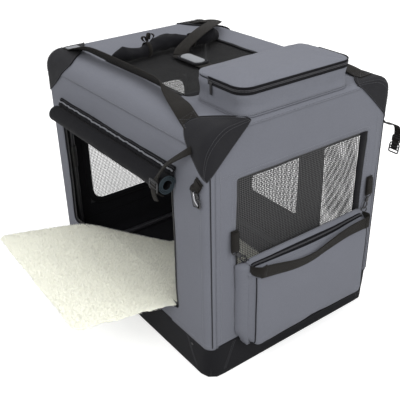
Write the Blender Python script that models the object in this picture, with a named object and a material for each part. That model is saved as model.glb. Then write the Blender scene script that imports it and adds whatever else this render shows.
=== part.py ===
"""Soft folding dog crate: a folding steel tube frame, a fabric cover with mesh windows, two bags and a fleece mat.

X runs along the crate, Y across it and Z up. The origin is under the middle of the floor. The open door is on -Y and
the end with the side bag is on +X. Lengths are in metres.
"""

import math

import bmesh
import bpy
from mathutils import Matrix, Vector

# Overall size of the cover
LENGTH = 0.66
WIDTH = 0.505
HEIGHT = 0.59

# Clearance between pieces that touch, and the overrun of every cutter
CLEAR = 0.0003
OVERRUN = 0.004

# Cover
CLOTH = 0.0025
SHOULDER_R = 0.042
EDGE_R = 0.02
BAND_H = 0.088
FOOT_R = 0.032

# Door opening in the front wall: cloth left beside, over and under it
DOOR_FAR_EDGE = 0.06
DOOR_NEAR_EDGE = 0.108
DOOR_TOP_EDGE = 0.139
DOOR_SILL = 0.132
DOOR_R = 0.014

# Windows: cloth left beside and over each one, and the height of its sill
RIGHT_FRONT_EDGE = 0.0725
RIGHT_BACK_EDGE = 0.0655
RIGHT_TOP_EDGE = 0.112
RIGHT_SILL = 0.13
LEFT_SIDE_EDGE = 0.0815
LEFT_TOP_EDGE = 0.15
LEFT_SILL = 0.134
BACK_END_EDGE = 0.04
BACK_TOP_EDGE = 0.12
BACK_SILL = 0.115
BACK_NARROW_W = 0.14
BACK_WIDE_W = 0.205
BACK_STRIP_W = 0.07
SHARP_R = 0.006
ROUND_R = 0.04
BACK_R = 0.02

# Roof opening, with its net, under the rolled flap: cloth left round it
ROOF_FAR_EDGE = 0.16
ROOF_NEAR_EDGE = 0.165
ROOF_FRONT_EDGE = 0.0825
ROOF_BACK_EDGE = 0.1225
ROOF_WINDOW_R = 0.02

# Nets
NET_T = 0.0012
NET_BAR = 0.0045

# Steel tube frame
TUBE_R = 0.008
POST_WALL_GAP = 0.0185
POST_END_GAP = 0.03
PIVOT_Z = 0.04
SADDLE_R = 0.011
SADDLE_L = 0.018
SADDLE_IN = 0.0725
STUB_L = 0.04
STUB_WALL = 0.006
HOOP_R = 0.032

# Corner blocks of the base
BLOCK_R = 0.0112
BLOCK_ARM = 0.042
BLOCK_STOP = 0.014
CHEEK_HALF = 0.008

# Knuckles halfway up the posts
SLEEVE_R = 0.0105
SLEEVE_L = 0.03
CAP_T = 0.0035
EAR_R = 0.006
EAR_GAP = 0.0005
EAR_DROP = 0.024
PIN_R = 0.0025
PIN_HEAD_R = 0.004
PIN_HEAD_T = 0.001
TONGUE_HALF = 0.003
CHEEK_OUT = 0.007

# Flattened foot of a lower post
FOOT_EYE = 0.0075
FOOT_FLAT = 0.011
FOOT_ROUND = 0.024

# Corner patches on the cover
PATCH_T = 0.0012
PATCH_Y = 0.108
PATCH_Z = 0.102
PATCH_X_NEAR = 0.082
PATCH_X_FAR = 0.125

# Webbing
WEB_T = 0.0022
HANDLE_W = 0.036
TIE_W = 0.018
TIE_WRAP_END = 250
REAR_TIE_IN = 0.024
TIE_SLANT_SHARES = (0.5, 0.8, 0.95)
REAR_TIE_SHARES = (
    (0.0, -0.5),
    (0.03, 0.3),
    (0.4, 1.1),
    (1.4, 1.9),
    (2.8, 2.4),
    (3.9, 3.1),
    (4.2, 4.2),
    (4.0, 5.3),
    (3.8, 6.2),
)

# Places along a handle: shares of half the length and half the width, lift as a share of the webbing's
# width, and lean in degrees with the front edge up
FRONT_HANDLE_SHARES = (
    (-0.93, -0.76, 0.0, 0),
    (-0.86, -0.76, 0.0, 0),
    (-0.74, -0.77, 0.06, 20),
    (-0.55, -0.75, 0.03, 50),
    (-0.2, -0.74, 0.0, 55),
    (0.1, -0.745, 0.0, 55),
    (0.33, -0.76, 0.04, 50),
    (0.45, -0.8, 0.12, 20),
    (0.6, -0.83, 0.14, 0),
    (0.76, -0.8, 0.1, 0),
    (0.87, -0.77, 0.0, 0),
    (0.93, -0.76, 0.0, 0),
)
GRIP_ENDS_SHARES = (-0.19, 0.08)
GRIP_ACROSS_SHARE = -0.1
BACK_HANDLE_SHARES = (
    (-0.93, 0.76, 0.0, 0),
    (-0.9, 0.76, 0.0, 0),
    (-0.87, 0.765, 0.04, 0),
    (-0.78, 0.78, 0.25, 0),
    (-0.66, 0.76, 0.5, 0),
    (-0.52, 0.62, 0.95, 0),
    (-0.38, 0.4, 1.25, 0),
    (-0.29, 0.18, 1.1, 0),
    (-0.25, -0.02, 0.42, 0),
    (-0.215, -0.085, 0.0, 0),
    (GRIP_ENDS_SHARES[0], GRIP_ACROSS_SHARE, 0.0, 0),
    (GRIP_ENDS_SHARES[1], GRIP_ACROSS_SHARE, 0.0, 0),
    (0.12, -0.09, 0.0, 0),
    (0.24, 0.0, 0.05, 0),
    (0.35, 0.22, 0.1, 0),
    (0.4, 0.45, 0.15, 0),
    (0.46, 0.64, 0.2, 0),
    (0.6, 0.76, 0.2, 0),
    (0.76, 0.78, 0.1, 0),
    (0.87, 0.76, 0.0, 0),
    (0.93, 0.76, 0.0, 0),
)

# Rolled door
ROLL_R = 0.0215
ROLL_RISE = 0.004
ROLL_GAP = 0.0011
ROLL_TURNS = 3
ROLL_FAR_IN = 0.018
ROLL_NEAR_LAP = 0.01

# Rolled roof flap
FLAP_IN = 0.042
FLAP_R = 0.021
FLAP_SWELL_SHARE = 0.14
FLAP_END_SHARE = 0.55
FLAP_TAPER_SHARE = 6.0
FLAP_SWAY = 0.012
FLAP_TIE_W = 0.007
FLAP_TIE_T = 0.0012
FLAP_TIE_SHARE = 0.38

# Roof pouch
POUCH_FAR_IN = 0.16
POUCH_NEAR_IN = 0.008
POUCH_FRONT_IN = 0.0895
POUCH_BACK_IN = 0.1205
POUCH_R = 0.03
POUCH_BASE_H = 0.046
ZIP_H = 0.006
ZIP_IN = 0.0008
LID_H = 0.008
LID_CROWN = 0.006
LID_CROWN_SHARE = 0.7
LID_INSET = 0.022

# Zip pull of the pouch
PULL_IN = 0.062
SLIDER_L = 0.010
SLIDER_H = 0.0045
SLIDER_T = 0.003
PULL_L = 0.024
PULL_W = 0.006
PULL_T = 0.0014

# Side bag
BAG_FRONT_IN = 0.0845
BAG_BACK_IN = 0.0605
BAG_Z0 = 0.07
BAG_Z1 = 0.288
BAG_T = 0.044
BAG_R = 0.018
BAG_LIP = 0.016
BAG_TAPER = 0.02
BAG_STRAP_W = 0.03

# Places along the bag and how far each section draws in, and places along its strap and how far it sags
BAG_DRAW_SHARES = (
    (0.0, 1.0),
    (0.02, 0.45),
    (0.06, 0.12),
    (0.15, 0.0),
    (0.5, 0.0),
    (0.85, 0.0),
    (0.94, 0.12),
    (0.98, 0.45),
    (1.0, 1.0),
)
BAG_STRAP_SHARES = ((0.0, 0.0), (0.2, 0.2), (0.4, 0.35), (0.6, 0.3), (0.8, 0.12), (1.0, 0.0))

# Clips and tabs of the side bag
TAB_FRONT_IN = 0.0665
TAB_BACK_IN = 0.0405
TAB_TOP = 0.372
TAB_LOW = 0.316
TAB_W = 0.02
CLIP_H = 0.026
CLIP_W = 0.018
CLIP_T = 0.005
RING_R = 0.009
WIRE_R = 0.0015

# Fleece mat, pulled out over the sill
MAT_LENGTH = 0.64
MAT_BACK_GAP = 0.08
MAT_FAR_GAP = 0.017
MAT_NEAR_GAP = 0.015
MAT_T = 0.013
MAT_EDGE_T = 0.006
MAT_DRAW = 0.006
MAT_BEND = 0.03
MAT_LAND = 0.3
MAT_RISE_SHARE = 0.05
MAT_DRAW_SHARE = 0.015
MAT_CROWN_SHARE = 0.08
MAT_WIDTH_SHARES = (-1.0, -0.94, -0.7, -0.35, 0.0, 0.35, 0.7, 0.94, 1.0)
MAT_LENGTH_SHARES = (0.0, 0.015, 0.08, 0.2, 0.28, 0.31, 0.33, 0.35, 0.38, 0.44, 0.56, 0.69, 0.77, 0.92, 0.985, 1.0)
MAT_TURN = math.radians(9.0)
MAT_EDGE_TURN = math.radians(-3.5)

# Handle grip
GRIP_L = 0.085
GRIP_W = 0.044
GRIP_T = 0.003
GRIP_R = 0.016

# Ladder buckle and hanging clip
BUCKLE_W = 0.026
BUCKLE_H = 0.02
BUCKLE_T = 0.004
FLAG_W = 0.016
FLAG_H = 0.026
FLAG_T = 0.0015

# Places that follow from the sizes above
HALF_L = LENGTH / 2
HALF_W = WIDTH / 2
POST_X = HALF_L - CLOTH - POST_END_GAP
POST_Y = HALF_W - CLOTH - POST_WALL_GAP - TUBE_R
RAIL_Z = CLOTH + CLEAR + BLOCK_R
BAR_Z = HEIGHT - CLOTH - CLEAR - SADDLE_R
MID_Z = (PIVOT_Z + BAR_Z) / 2
KNUCKLE_X = POST_X + SLEEVE_R + EAR_GAP + EAR_R
SHOULDER_Z = HEIGHT - SHOULDER_R
WALL_Z0 = BAND_H + CLEAR
WALL_Z1 = SHOULDER_Z - CLEAR
SADDLE_Y = HALF_W - SADDLE_IN
DOOR_LEFT = DOOR_FAR_EDGE - HALF_L
DOOR_RIGHT = HALF_L - DOOR_NEAR_EDGE
DOOR_TOP = HEIGHT - DOOR_TOP_EDGE
ROLL_LEFT = DOOR_LEFT + ROLL_FAR_IN
ROLL_RIGHT = DOOR_RIGHT + ROLL_NEAR_LAP
ROLL_Y = -HALF_W - CLEAR - ROLL_R
ROLL_Z = DOOR_TOP + ROLL_RISE
BACK_X1 = HALF_L - BACK_END_EDGE
BACK_X0 = BACK_X1 - BACK_NARROW_W - BACK_STRIP_W
POUCH_X0 = HALF_L - POUCH_FAR_IN
POUCH_X1 = HALF_L - POUCH_NEAR_IN
POUCH_Y0 = POUCH_FRONT_IN - HALF_W
POUCH_Y1 = HALF_W - POUCH_BACK_IN
PULL_X = POUCH_X0 + PULL_IN
BAG_Y0 = BAG_FRONT_IN - HALF_W
BAG_Y1 = HALF_W - BAG_BACK_IN
MAT_OUT = MAT_LENGTH - WIDTH + MAT_BACK_GAP
MAT_LEFT = DOOR_LEFT + MAT_FAR_GAP
MAT_WIDTH = DOOR_RIGHT - MAT_NEAR_GAP - MAT_LEFT

# Openings: lowest and highest corner in the plane of each panel
RIGHT_WINDOW = ((RIGHT_FRONT_EDGE - HALF_W, RIGHT_SILL), (HALF_W - RIGHT_BACK_EDGE, HEIGHT - RIGHT_TOP_EDGE))
LEFT_WINDOW = ((LEFT_SIDE_EDGE - HALF_W, LEFT_SILL), (HALF_W - LEFT_SIDE_EDGE, HEIGHT - LEFT_TOP_EDGE))
BACK_WINDOW_A = ((BACK_X0 - BACK_WIDE_W, BACK_SILL), (BACK_X0, HEIGHT - BACK_TOP_EDGE))
BACK_WINDOW_B = ((BACK_X1 - BACK_NARROW_W, BACK_SILL), (BACK_X1, HEIGHT - BACK_TOP_EDGE))
ROOF_WINDOW = ((ROOF_FAR_EDGE - HALF_L, ROOF_FRONT_EDGE - HALF_W), (HALF_L - ROOF_NEAR_EDGE, HALF_W - ROOF_BACK_EDGE))
FLAP_X = ROOF_WINDOW[0][0] + FLAP_IN

SIDES = (("left", -1), ("right", 1))
CORNERS = [(side, sx, end, sy) for side, sx in SIDES for end, sy in (("front", -1), ("back", 1))]

# Body, its parent and the point of its joint axis
BODIES = {
    "base": (None, (0, 0, 0)),
    "lower_left": ("base", (-POST_X, 0, PIVOT_Z)),
    "upper_left": ("lower_left", (-KNUCKLE_X, 0, MID_Z)),
    "roof": ("upper_left", (-POST_X, 0, BAR_Z)),
    "lower_right": ("base", (POST_X, 0, PIVOT_Z)),
    "upper_right": ("lower_right", (KNUCKLE_X, 0, MID_Z)),
    "mat": ("base", (0, -HALF_W, DOOR_SILL)),
    "side_bag": ("base", (HALF_L, 0, BAG_Z1)),
    "pouch_lid": ("roof", (POUCH_X0, 0, HEIGHT + POUCH_BASE_H + ZIP_H)),
    "zip_pull": ("roof", (PULL_X, POUCH_Y0, HEIGHT + POUCH_BASE_H)),
}

COLOURS = {
    "grey_fabric": ((0.175, 0.185, 0.21), 0.85, 0.0),
    "black_fabric": ((0.02, 0.02, 0.022), 0.85, 0.0),
    "patch_fabric": ((0.035, 0.035, 0.037), 0.8, 0.0),
    "net": ((0.02, 0.02, 0.02), 0.8, 0.0),
    "webbing": ((0.045, 0.042, 0.038), 0.8, 0.0),
    "fleece": ((0.82, 0.82, 0.72), 0.95, 0.0),
    "tube_steel": ((0.06, 0.06, 0.065), 0.45, 0.6),
    "bright_steel": ((0.55, 0.55, 0.57), 0.3, 1.0),
    "plastic": ((0.015, 0.015, 0.016), 0.5, 0.0),
}

empties = {}
materials = {}


def clear_scene():
    for obj in list(bpy.data.objects):
        bpy.data.objects.remove(obj, do_unlink=True)


def make_materials():
    for name, (colour, roughness, metallic) in COLOURS.items():
        skin = bpy.data.materials.new(name)
        skin.use_nodes = True
        shader = skin.node_tree.nodes["Principled BSDF"]
        shader.inputs["Base Color"].default_value = (*colour, 1.0)
        shader.inputs["Roughness"].default_value = roughness
        shader.inputs["Metallic"].default_value = metallic
        skin.diffuse_color = (*colour, 1.0)
        materials[name] = skin


def make_bodies():
    """One empty for each moving body, standing on its joint's axis."""
    for name, (parent, place) in BODIES.items():
        empty = bpy.data.objects.new("body_" + name, None)
        bpy.context.scene.collection.objects.link(empty)
        empty.location = place
        if parent:
            empty.parent = empties[parent]
            empty.location = Vector(place) - Vector(BODIES[parent][1])
        empties[name] = empty


def place_object(name, data, skin, body):
    """A new object whose points are in world space, carried by its body's empty."""
    obj = bpy.data.objects.new(name, data)
    bpy.context.scene.collection.objects.link(obj)
    if skin:
        data.materials.append(materials[skin])
    if body:
        obj.parent = empties[body]
        obj.matrix_parent_inverse = Matrix.Translation(-Vector(BODIES[body][1]))
    return obj


def from_bmesh(name, bm, skin, body, smooth_below=35.0):
    bmesh.ops.recalc_face_normals(bm, faces=bm.faces[:])
    mesh = bpy.data.meshes.new(name)
    bm.to_mesh(mesh)
    bm.free()
    mesh.shade_smooth()
    mesh.set_sharp_from_angle(angle=math.radians(smooth_below))
    return place_object(name, mesh, skin, body)


def skin_rings(bm, rings):
    """Adds one closed shape: quads between rings of points, and a face over each end ring."""
    rows = [[bm.verts.new(point) for point in ring] for ring in rings]
    for low, high in zip(rows, rows[1:]):
        for i in range(len(low)):
            j = (i + 1) % len(low)
            bm.faces.new((low[i], low[j], high[j], high[i]))
    bm.faces.new(rows[0])
    bm.faces.new(rows[-1])


def loft(name, rings, skin=None, body=None):
    bm = bmesh.new()
    skin_rings(bm, rings)
    return from_bmesh(name, bm, skin, body)


def add_rod(bm, start, end, radius, sides=14):
    start, end = Vector(start), Vector(end)
    axis = end - start
    turn = axis.to_track_quat("Z", "Y").to_matrix().to_4x4()
    bmesh.ops.create_cone(
        bm,
        cap_ends=True,
        segments=sides,
        radius1=radius,
        radius2=radius,
        depth=axis.length,
        matrix=Matrix.Translation((start + end) / 2) @ turn,
    )


def rod(name, start, end, radius, skin=None, body=None, sides=14):
    bm = bmesh.new()
    add_rod(bm, start, end, radius, sides)
    return from_bmesh(name, bm, skin, body)


def add_block(bm, low, high):
    low, high = Vector(low), Vector(high)
    made = bmesh.ops.create_cube(bm, size=1.0, matrix=Matrix.Translation((low + high) / 2))
    centre = (low + high) / 2
    for vert in made["verts"]:
        for axis in range(3):
            vert.co[axis] = centre[axis] + (vert.co[axis] - centre[axis]) * (high[axis] - low[axis])
    return made["verts"]


def block(name, low, high, skin=None, body=None, bevel=0.0):
    bm = bmesh.new()
    add_block(bm, low, high)
    if bevel:
        bmesh.ops.bevel(bm, geom=bm.edges[:], offset=bevel, segments=2, affect="EDGES", profile=0.5)
    return from_bmesh(name, bm, skin, body)


def combine(target, tool, operation="DIFFERENCE"):
    """Cuts the tool from the target, or joins it, and hides the tool."""
    modifier = target.modifiers.new(tool.name, "BOOLEAN")
    modifier.object = tool
    modifier.operation = operation
    tool.hide_render = True
    tool.display_type = "WIRE"


def tube(name, points, radius, skin, body):
    """A bent tube as a curve with a round bevel and filled ends."""
    data = bpy.data.curves.new(name, "CURVE")
    data.dimensions = "3D"
    spline = data.splines.new("POLY")
    spline.points.add(len(points) - 1)
    for point, place in zip(spline.points, points):
        point.co = (*place, 1.0)
    data.bevel_depth = radius
    data.bevel_resolution = 4
    data.use_fill_caps = True
    spline.use_smooth = True
    return place_object(name, data, skin, body)


def arc(centre, radius, start, end, steps):
    """Points of a circle's arc, angles in degrees."""
    points = []
    for i in range(steps + 1):
        angle = math.radians(start + (end - start) * i / steps)
        points.append((centre[0] + radius * math.cos(angle), centre[1] + radius * math.sin(angle)))
    return points


def rounded(low, high, radius, steps=8):
    """Outline of a rectangle with round corners, counter-clockwise."""
    (u0, v0), (u1, v1) = low, high
    radius = min(radius, (u1 - u0) / 2, (v1 - v0) / 2)
    return (
        arc((u1 - radius, v0 + radius), radius, -90, 0, steps)
        + arc((u1 - radius, v1 - radius), radius, 0, 90, steps)
        + arc((u0 + radius, v1 - radius), radius, 90, 180, steps)
        + arc((u0 + radius, v0 + radius), radius, 180, 270, steps)
    )


def grown(window, amount):
    """A window's corners moved out by an amount, or in by a negative one."""
    (u0, v0), (u1, v1) = window
    return (u0 - amount, v0 - amount), (u1 + amount, v1 + amount)


def in_x(outline, x):
    return [(x, u, v) for u, v in outline]


def in_y(outline, y):
    return [(u, y, v) for u, v in outline]


def in_z(outline, z):
    return [(u, v, z) for u, v in outline]


def smooth_path(points, steps):
    """Points along a smooth curve that passes through the given ones."""
    knots = [Vector(p) for p in points]
    knots = [2 * knots[0] - knots[1]] + knots + [2 * knots[-1] - knots[-2]]
    path = []
    for a, b, c, d in zip(knots, knots[1:], knots[2:], knots[3:]):
        for i in range(steps):
            t = i / steps
            path.append(
                0.5 * (2 * b + (c - a) * t + (2 * a - 5 * b + 4 * c - d) * t**2 + (3 * b - a - 3 * c + d) * t**3)
            )
    path.append(knots[-2])
    return path


def ribbon(name, path, across, width, thickness, skin, body):
    """Webbing along a path. across gives the direction of its width at each point."""
    rings = []
    for i, point in enumerate(path):
        ahead = path[min(i + 1, len(path) - 1)] - path[max(i - 1, 0)]
        ahead.normalize()
        side = Vector(across[i])
        side = (side - side.dot(ahead) * ahead).normalized()
        normal = ahead.cross(side)
        half, lift = side * (width / 2), normal * (thickness / 2)
        rings.append([point + half + lift, point - half + lift, point - half - lift, point + half - lift])
    return loft(name, rings, skin, body)


# Cover


def base_tray():
    """Black tray: a flat floor and a band whose foot is rounder than its rim, as the cloth is drawn over the frame."""

    def plan(inset, radius):
        return rounded((-HALF_L + inset, -HALF_W + inset), (HALF_L - inset, HALF_W - inset), radius - inset)

    rings = [
        in_z(plan(0, FOOT_R), 0),
        in_z(plan(0, EDGE_R), BAND_H),
        in_z(plan(CLOTH, EDGE_R), BAND_H),
        in_z(plan(CLOTH, FOOT_R), CLOTH),
    ]
    loft("base_tray", rings, "black_fabric", "base")


def long_wall(name, sign):
    """A long side of the cover, with round upright edges that turn the corner to the end panels."""
    y = HALF_W - EDGE_R
    x = HALF_L - EDGE_R
    outer = arc((-x, y), EDGE_R, 180, 90, 5) + arc((x, y), EDGE_R, 90, 0, 5)
    inner = arc((x, y), EDGE_R - CLOTH, 0, 90, 5) + arc((-x, y), EDGE_R - CLOTH, 90, 180, 5)
    outline = [(u, sign * v) for u, v in outer + inner]
    return loft(name, [in_z(outline, WALL_Z0), in_z(outline, WALL_Z1)], "grey_fabric", "base")


def cut_long_wall(wall, window, radius, sign):
    inside = sign * (HALF_W - CLOTH - OVERRUN)
    outside = sign * (HALF_W + OVERRUN)
    outline = rounded(*window, radius)
    combine(wall, loft(wall.name + "_cut", [in_y(outline, inside), in_y(outline, outside)]))


def end_wall(name, sign, window, radius):
    """A flat end panel that follows the round shoulders of the roof."""
    low_half = HALF_W - EDGE_R - CLEAR
    wide_half = HALF_W - CLOTH - CLEAR
    corner = SHOULDER_R - CLOTH - CLEAR
    top = HEIGHT - CLOTH - CLEAR
    right = [(low_half, WALL_Z0), (low_half, SHOULDER_Z + CLEAR), (wide_half, SHOULDER_Z + CLEAR)]
    right += arc((wide_half - corner, top - corner), corner, 5, 90, 7)
    outline = right + [(-u, v) for u, v in reversed(right)]
    rings = [in_x(outline, sign * (HALF_L - CLOTH)), in_x(outline, sign * HALF_L)]
    wall = loft(name, rings, "grey_fabric", "base")
    hole = rounded(*window, radius)
    near, far = sign * (HALF_L - CLOTH - OVERRUN), sign * (HALF_L + OVERRUN)
    combine(wall, loft(name + "_cut", [in_x(hole, near), in_x(hole, far)]))


def roof_panel():
    """The roof and both round shoulders in one sheet, with the opening for the roof net."""

    def path(inset, reverse):
        radius = SHOULDER_R - inset
        y = HALF_W - SHOULDER_R
        right = arc((y, SHOULDER_Z), radius, 0, 90, 8)
        left = arc((-y, SHOULDER_Z), radius, 90, 180, 8)
        points = right + left
        return points[::-1] if reverse else points

    outline = path(0, False) + path(CLOTH, True)
    roof = loft("roof_panel", [in_x(outline, -HALF_L), in_x(outline, HALF_L)], "grey_fabric", "roof")
    hole = rounded(*ROOF_WINDOW, ROOF_WINDOW_R)
    low, high = HEIGHT - CLOTH - OVERRUN, HEIGHT + OVERRUN
    combine(roof, loft("roof_panel_cut", [in_z(hole, low), in_z(hole, high)]))


def net(name, window, cells, radius, place, body):
    """A flat net that fills a window: a grid whose cells are inset, opened and given a thickness."""
    (u0, v0), (u1, v1) = grown(window, -CLEAR)
    bm = bmesh.new()
    bmesh.ops.create_grid(bm, x_segments=cells[0], y_segments=cells[1], size=1.0)
    for vert in bm.verts:
        u = (u0 + u1) / 2 + vert.co.x * (u1 - u0) / 2
        v = (v0 + v1) / 2 + vert.co.y * (v1 - v0) / 2
        du = max(u0 + radius - u, u - u1 + radius, 0)
        dv = max(v0 + radius - v, v - v1 + radius, 0)
        reach = math.hypot(du, dv)
        if reach > radius:
            u += (du - du * radius / reach) * (1 if vert.co.x < 0 else -1)
            v += (dv - dv * radius / reach) * (1 if vert.co.y < 0 else -1)
        vert.co = (u, v, 0)
    holes = bm.faces[:]
    bmesh.ops.inset_individual(bm, faces=holes, thickness=NET_BAR / 2, use_even_offset=True)
    bmesh.ops.delete(bm, geom=holes, context="FACES_ONLY")
    for vert in bm.verts:
        vert.co = place(vert.co.x, vert.co.y)
    obj = from_bmesh(name, bm, "net", body)
    solid = obj.modifiers.new("thickness", "SOLIDIFY")
    solid.thickness = NET_T
    solid.offset = 0.0


def nets():
    x = HALF_L - CLOTH / 2
    y = HALF_W - CLOTH / 2
    z = HEIGHT - CLOTH / 2
    net("right_net", RIGHT_WINDOW, (9, 8), SHARP_R, lambda u, v: (x, u, v), "base")
    net("left_net", LEFT_WINDOW, (7, 6), ROUND_R, lambda u, v: (-x, u, v), "base")
    net("back_net_left", BACK_WINDOW_A, (4, 7), BACK_R, lambda u, v: (u, y, v), "base")
    net("back_net_right", BACK_WINDOW_B, (3, 7), BACK_R, lambda u, v: (u, y, v), "base")
    net("roof_net", ROOF_WINDOW, (7, 6), ROOF_WINDOW_R, lambda u, v: (u, v, z), "roof")


def shell_tool(name, offset):
    """The cover's outer shape grown by an offset, to cut the corner patches from."""
    half = HALF_W + offset
    radius = SHOULDER_R + offset
    top = HEIGHT + offset
    outline = [(half, 0)] + arc((half - radius, top - radius), radius, 0, 90, 8)
    outline += arc((radius - half, top - radius), radius, 90, 180, 8) + [(-half, 0)]
    rings = [in_x(outline, -HALF_L - offset), in_x(outline, HALF_L + offset)]
    return loft(name, rings)


def corner_patches():
    """Triangular patches over the four upper corners: the part of a thin shell that a slanted plane cuts off."""
    outer = shell_tool("patch_outside", CLEAR + PATCH_T)
    inner = shell_tool("patch_inside", CLEAR)
    tip = CLEAR + PATCH_T + OVERRUN
    for side, sx, end, sy in CORNERS:
        reach_x = PATCH_X_NEAR if sx > 0 else PATCH_X_FAR
        corner = Vector((sx * (HALF_L + tip), sy * (HALF_W + tip), HEIGHT + tip))
        bm = bmesh.new()
        legs = (-sx * (reach_x + tip), 0, 0), (0, -sy * (PATCH_Y + tip), 0), (0, 0, -PATCH_Z - tip)
        verts = [bm.verts.new(corner)] + [bm.verts.new(corner + Vector(leg)) for leg in legs]
        for trio in ((0, 1, 2), (0, 2, 3), (0, 3, 1), (1, 3, 2)):
            bm.faces.new([verts[i] for i in trio])
        patch = from_bmesh(f"top_patch_{end}_{side}", bm, "patch_fabric", "roof")
        combine(patch, outer, "INTERSECT")
        combine(patch, inner)


# Frame


def base_frame():
    reach_x = POST_X - BLOCK_STOP - CLEAR
    reach_y = POST_Y - BLOCK_STOP - CLEAR
    for end, sy in (("front", -1), ("back", 1)):
        y = sy * POST_Y
        tube(f"base_rail_{end}", [(-reach_x, y, RAIL_Z), (reach_x, y, RAIL_Z)], TUBE_R, "tube_steel", "base")
    for side, sx in SIDES:
        x = sx * POST_X
        tube(f"base_rail_{side}", [(x, -reach_y, RAIL_Z), (x, reach_y, RAIL_Z)], TUBE_R, "tube_steel", "base")
    for corner in CORNERS:
        corner_block(*corner)


def pin(name, x, y, z):
    """A rivet along Y with a head at each end, turned from one piece."""
    head = CHEEK_OUT + PIN_HEAD_T
    seat = CHEEK_OUT - CLEAR
    profile = [(-head, PIN_HEAD_R), (-seat, PIN_HEAD_R), (-seat, PIN_R)]
    profile += [(seat, PIN_R), (seat, PIN_HEAD_R), (head, PIN_HEAD_R)]
    rings = []
    for along, radius in profile:
        rings.append([(x + u, y + along, z + v) for u, v in arc((0, 0), radius, 0, 324, 9)])
    return loft(name, rings)


def pin_hole(target, x, y, z):
    half = CHEEK_OUT + OVERRUN
    hole = rod(target.name + "_pin_cut", (x, y - half, z), (x, y + half, z), PIN_R + CLEAR, sides=12)
    combine(target, hole)


def elbow(x, y, sx, sy):
    """Rings along two mitred bends that turn the corner from the rail on X to the rail on Y."""
    cut = CHEEK_HALF
    path = [
        Vector((x - sx * BLOCK_ARM, y, RAIL_Z)),
        Vector((x - sx * cut, y, RAIL_Z)),
        Vector((x, y - sy * cut, RAIL_Z)),
        Vector((x, y - sy * BLOCK_ARM, RAIL_Z)),
    ]
    rings = []
    for i, point in enumerate(path):
        before = (point - path[i - 1]).normalized() if i else (path[1] - point).normalized()
        after = (path[i + 1] - point).normalized() if i < len(path) - 1 else before
        ahead = (before + after).normalized()
        level = Vector((-ahead.y, ahead.x, 0)) / ahead.dot(after)
        rings.append([point + level * u + Vector((0, 0, v)) for u, v in arc((0, 0), BLOCK_R, 0, 337.5, 15)])
    return rings


def corner_block(side, sx, end, sy):
    """Moulded corner of the base: a socket for each rail and two cheeks whose rivet holds the foot of the post."""
    name = f"corner_block_{end}_{side}"
    x, y = sx * POST_X, sy * POST_Y
    body = loft(name, elbow(x, y, sx, sy), "plastic", "base")
    hub_low = (x, y, RAIL_Z - BLOCK_R / 2)
    combine(body, rod(name + "_hub", hub_low, (x, y, RAIL_Z + BLOCK_R - CLEAR), BLOCK_R - 2 * CLEAR), "UNION")
    outline = [(x - CHEEK_HALF, RAIL_Z), (x + CHEEK_HALF, RAIL_Z)] + arc((x, PIVOT_Z), CHEEK_HALF, 0, 180, 6)
    for label, near, far in (("a", TONGUE_HALF + CLEAR, CHEEK_OUT), ("b", -CHEEK_OUT, -TONGUE_HALF - CLEAR)):
        combine(body, loft(f"{name}_cheek_{label}", [in_y(outline, y + near), in_y(outline, y + far)]), "UNION")
    stop_x = (x - sx * BLOCK_STOP, y, RAIL_Z)
    over_x = (x - sx * (BLOCK_ARM + OVERRUN), y, RAIL_Z)
    stop_y = (x, y - sy * BLOCK_STOP, RAIL_Z)
    over_y = (x, y - sy * (BLOCK_ARM + OVERRUN), RAIL_Z)
    combine(body, rod(name + "_bore_x", stop_x, over_x, TUBE_R + CLEAR))
    combine(body, rod(name + "_bore_y", stop_y, over_y, TUBE_R + CLEAR))
    combine(body, pin(name + "_rivet", x, y, PIVOT_Z), "UNION")


def flat_ring(x, y, z, half_x, half_y, sides=16):
    """A ring across a tube that has been pressed to an oval."""
    ring = []
    for i in range(sides):
        angle = 2 * math.pi * i / sides
        ring.append((x + half_x * math.cos(angle), y + half_y * math.sin(angle), z))
    return ring


def lower_post(side, sx, end, sy):
    """Lower half of a post: a tube whose foot is pressed flat round the base rivet."""
    x, y = sx * POST_X, sy * POST_Y
    top = MID_Z - CAP_T - 2 * CLEAR
    rings = [
        flat_ring(x, y, PIVOT_Z - FOOT_EYE, FOOT_EYE / 2, TONGUE_HALF - CLEAR),
        flat_ring(x, y, PIVOT_Z - FOOT_EYE / 2, FOOT_EYE, TONGUE_HALF),
        flat_ring(x, y, PIVOT_Z + FOOT_FLAT, FOOT_EYE + CLEAR, TONGUE_HALF),
        flat_ring(x, y, PIVOT_Z + FOOT_ROUND, TUBE_R, TUBE_R),
        flat_ring(x, y, top, TUBE_R, TUBE_R),
    ]
    post = loft(f"lower_post_{end}_{side}", rings, "tube_steel", "lower_" + side)
    pin_hole(post, x, y, PIVOT_Z)


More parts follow.
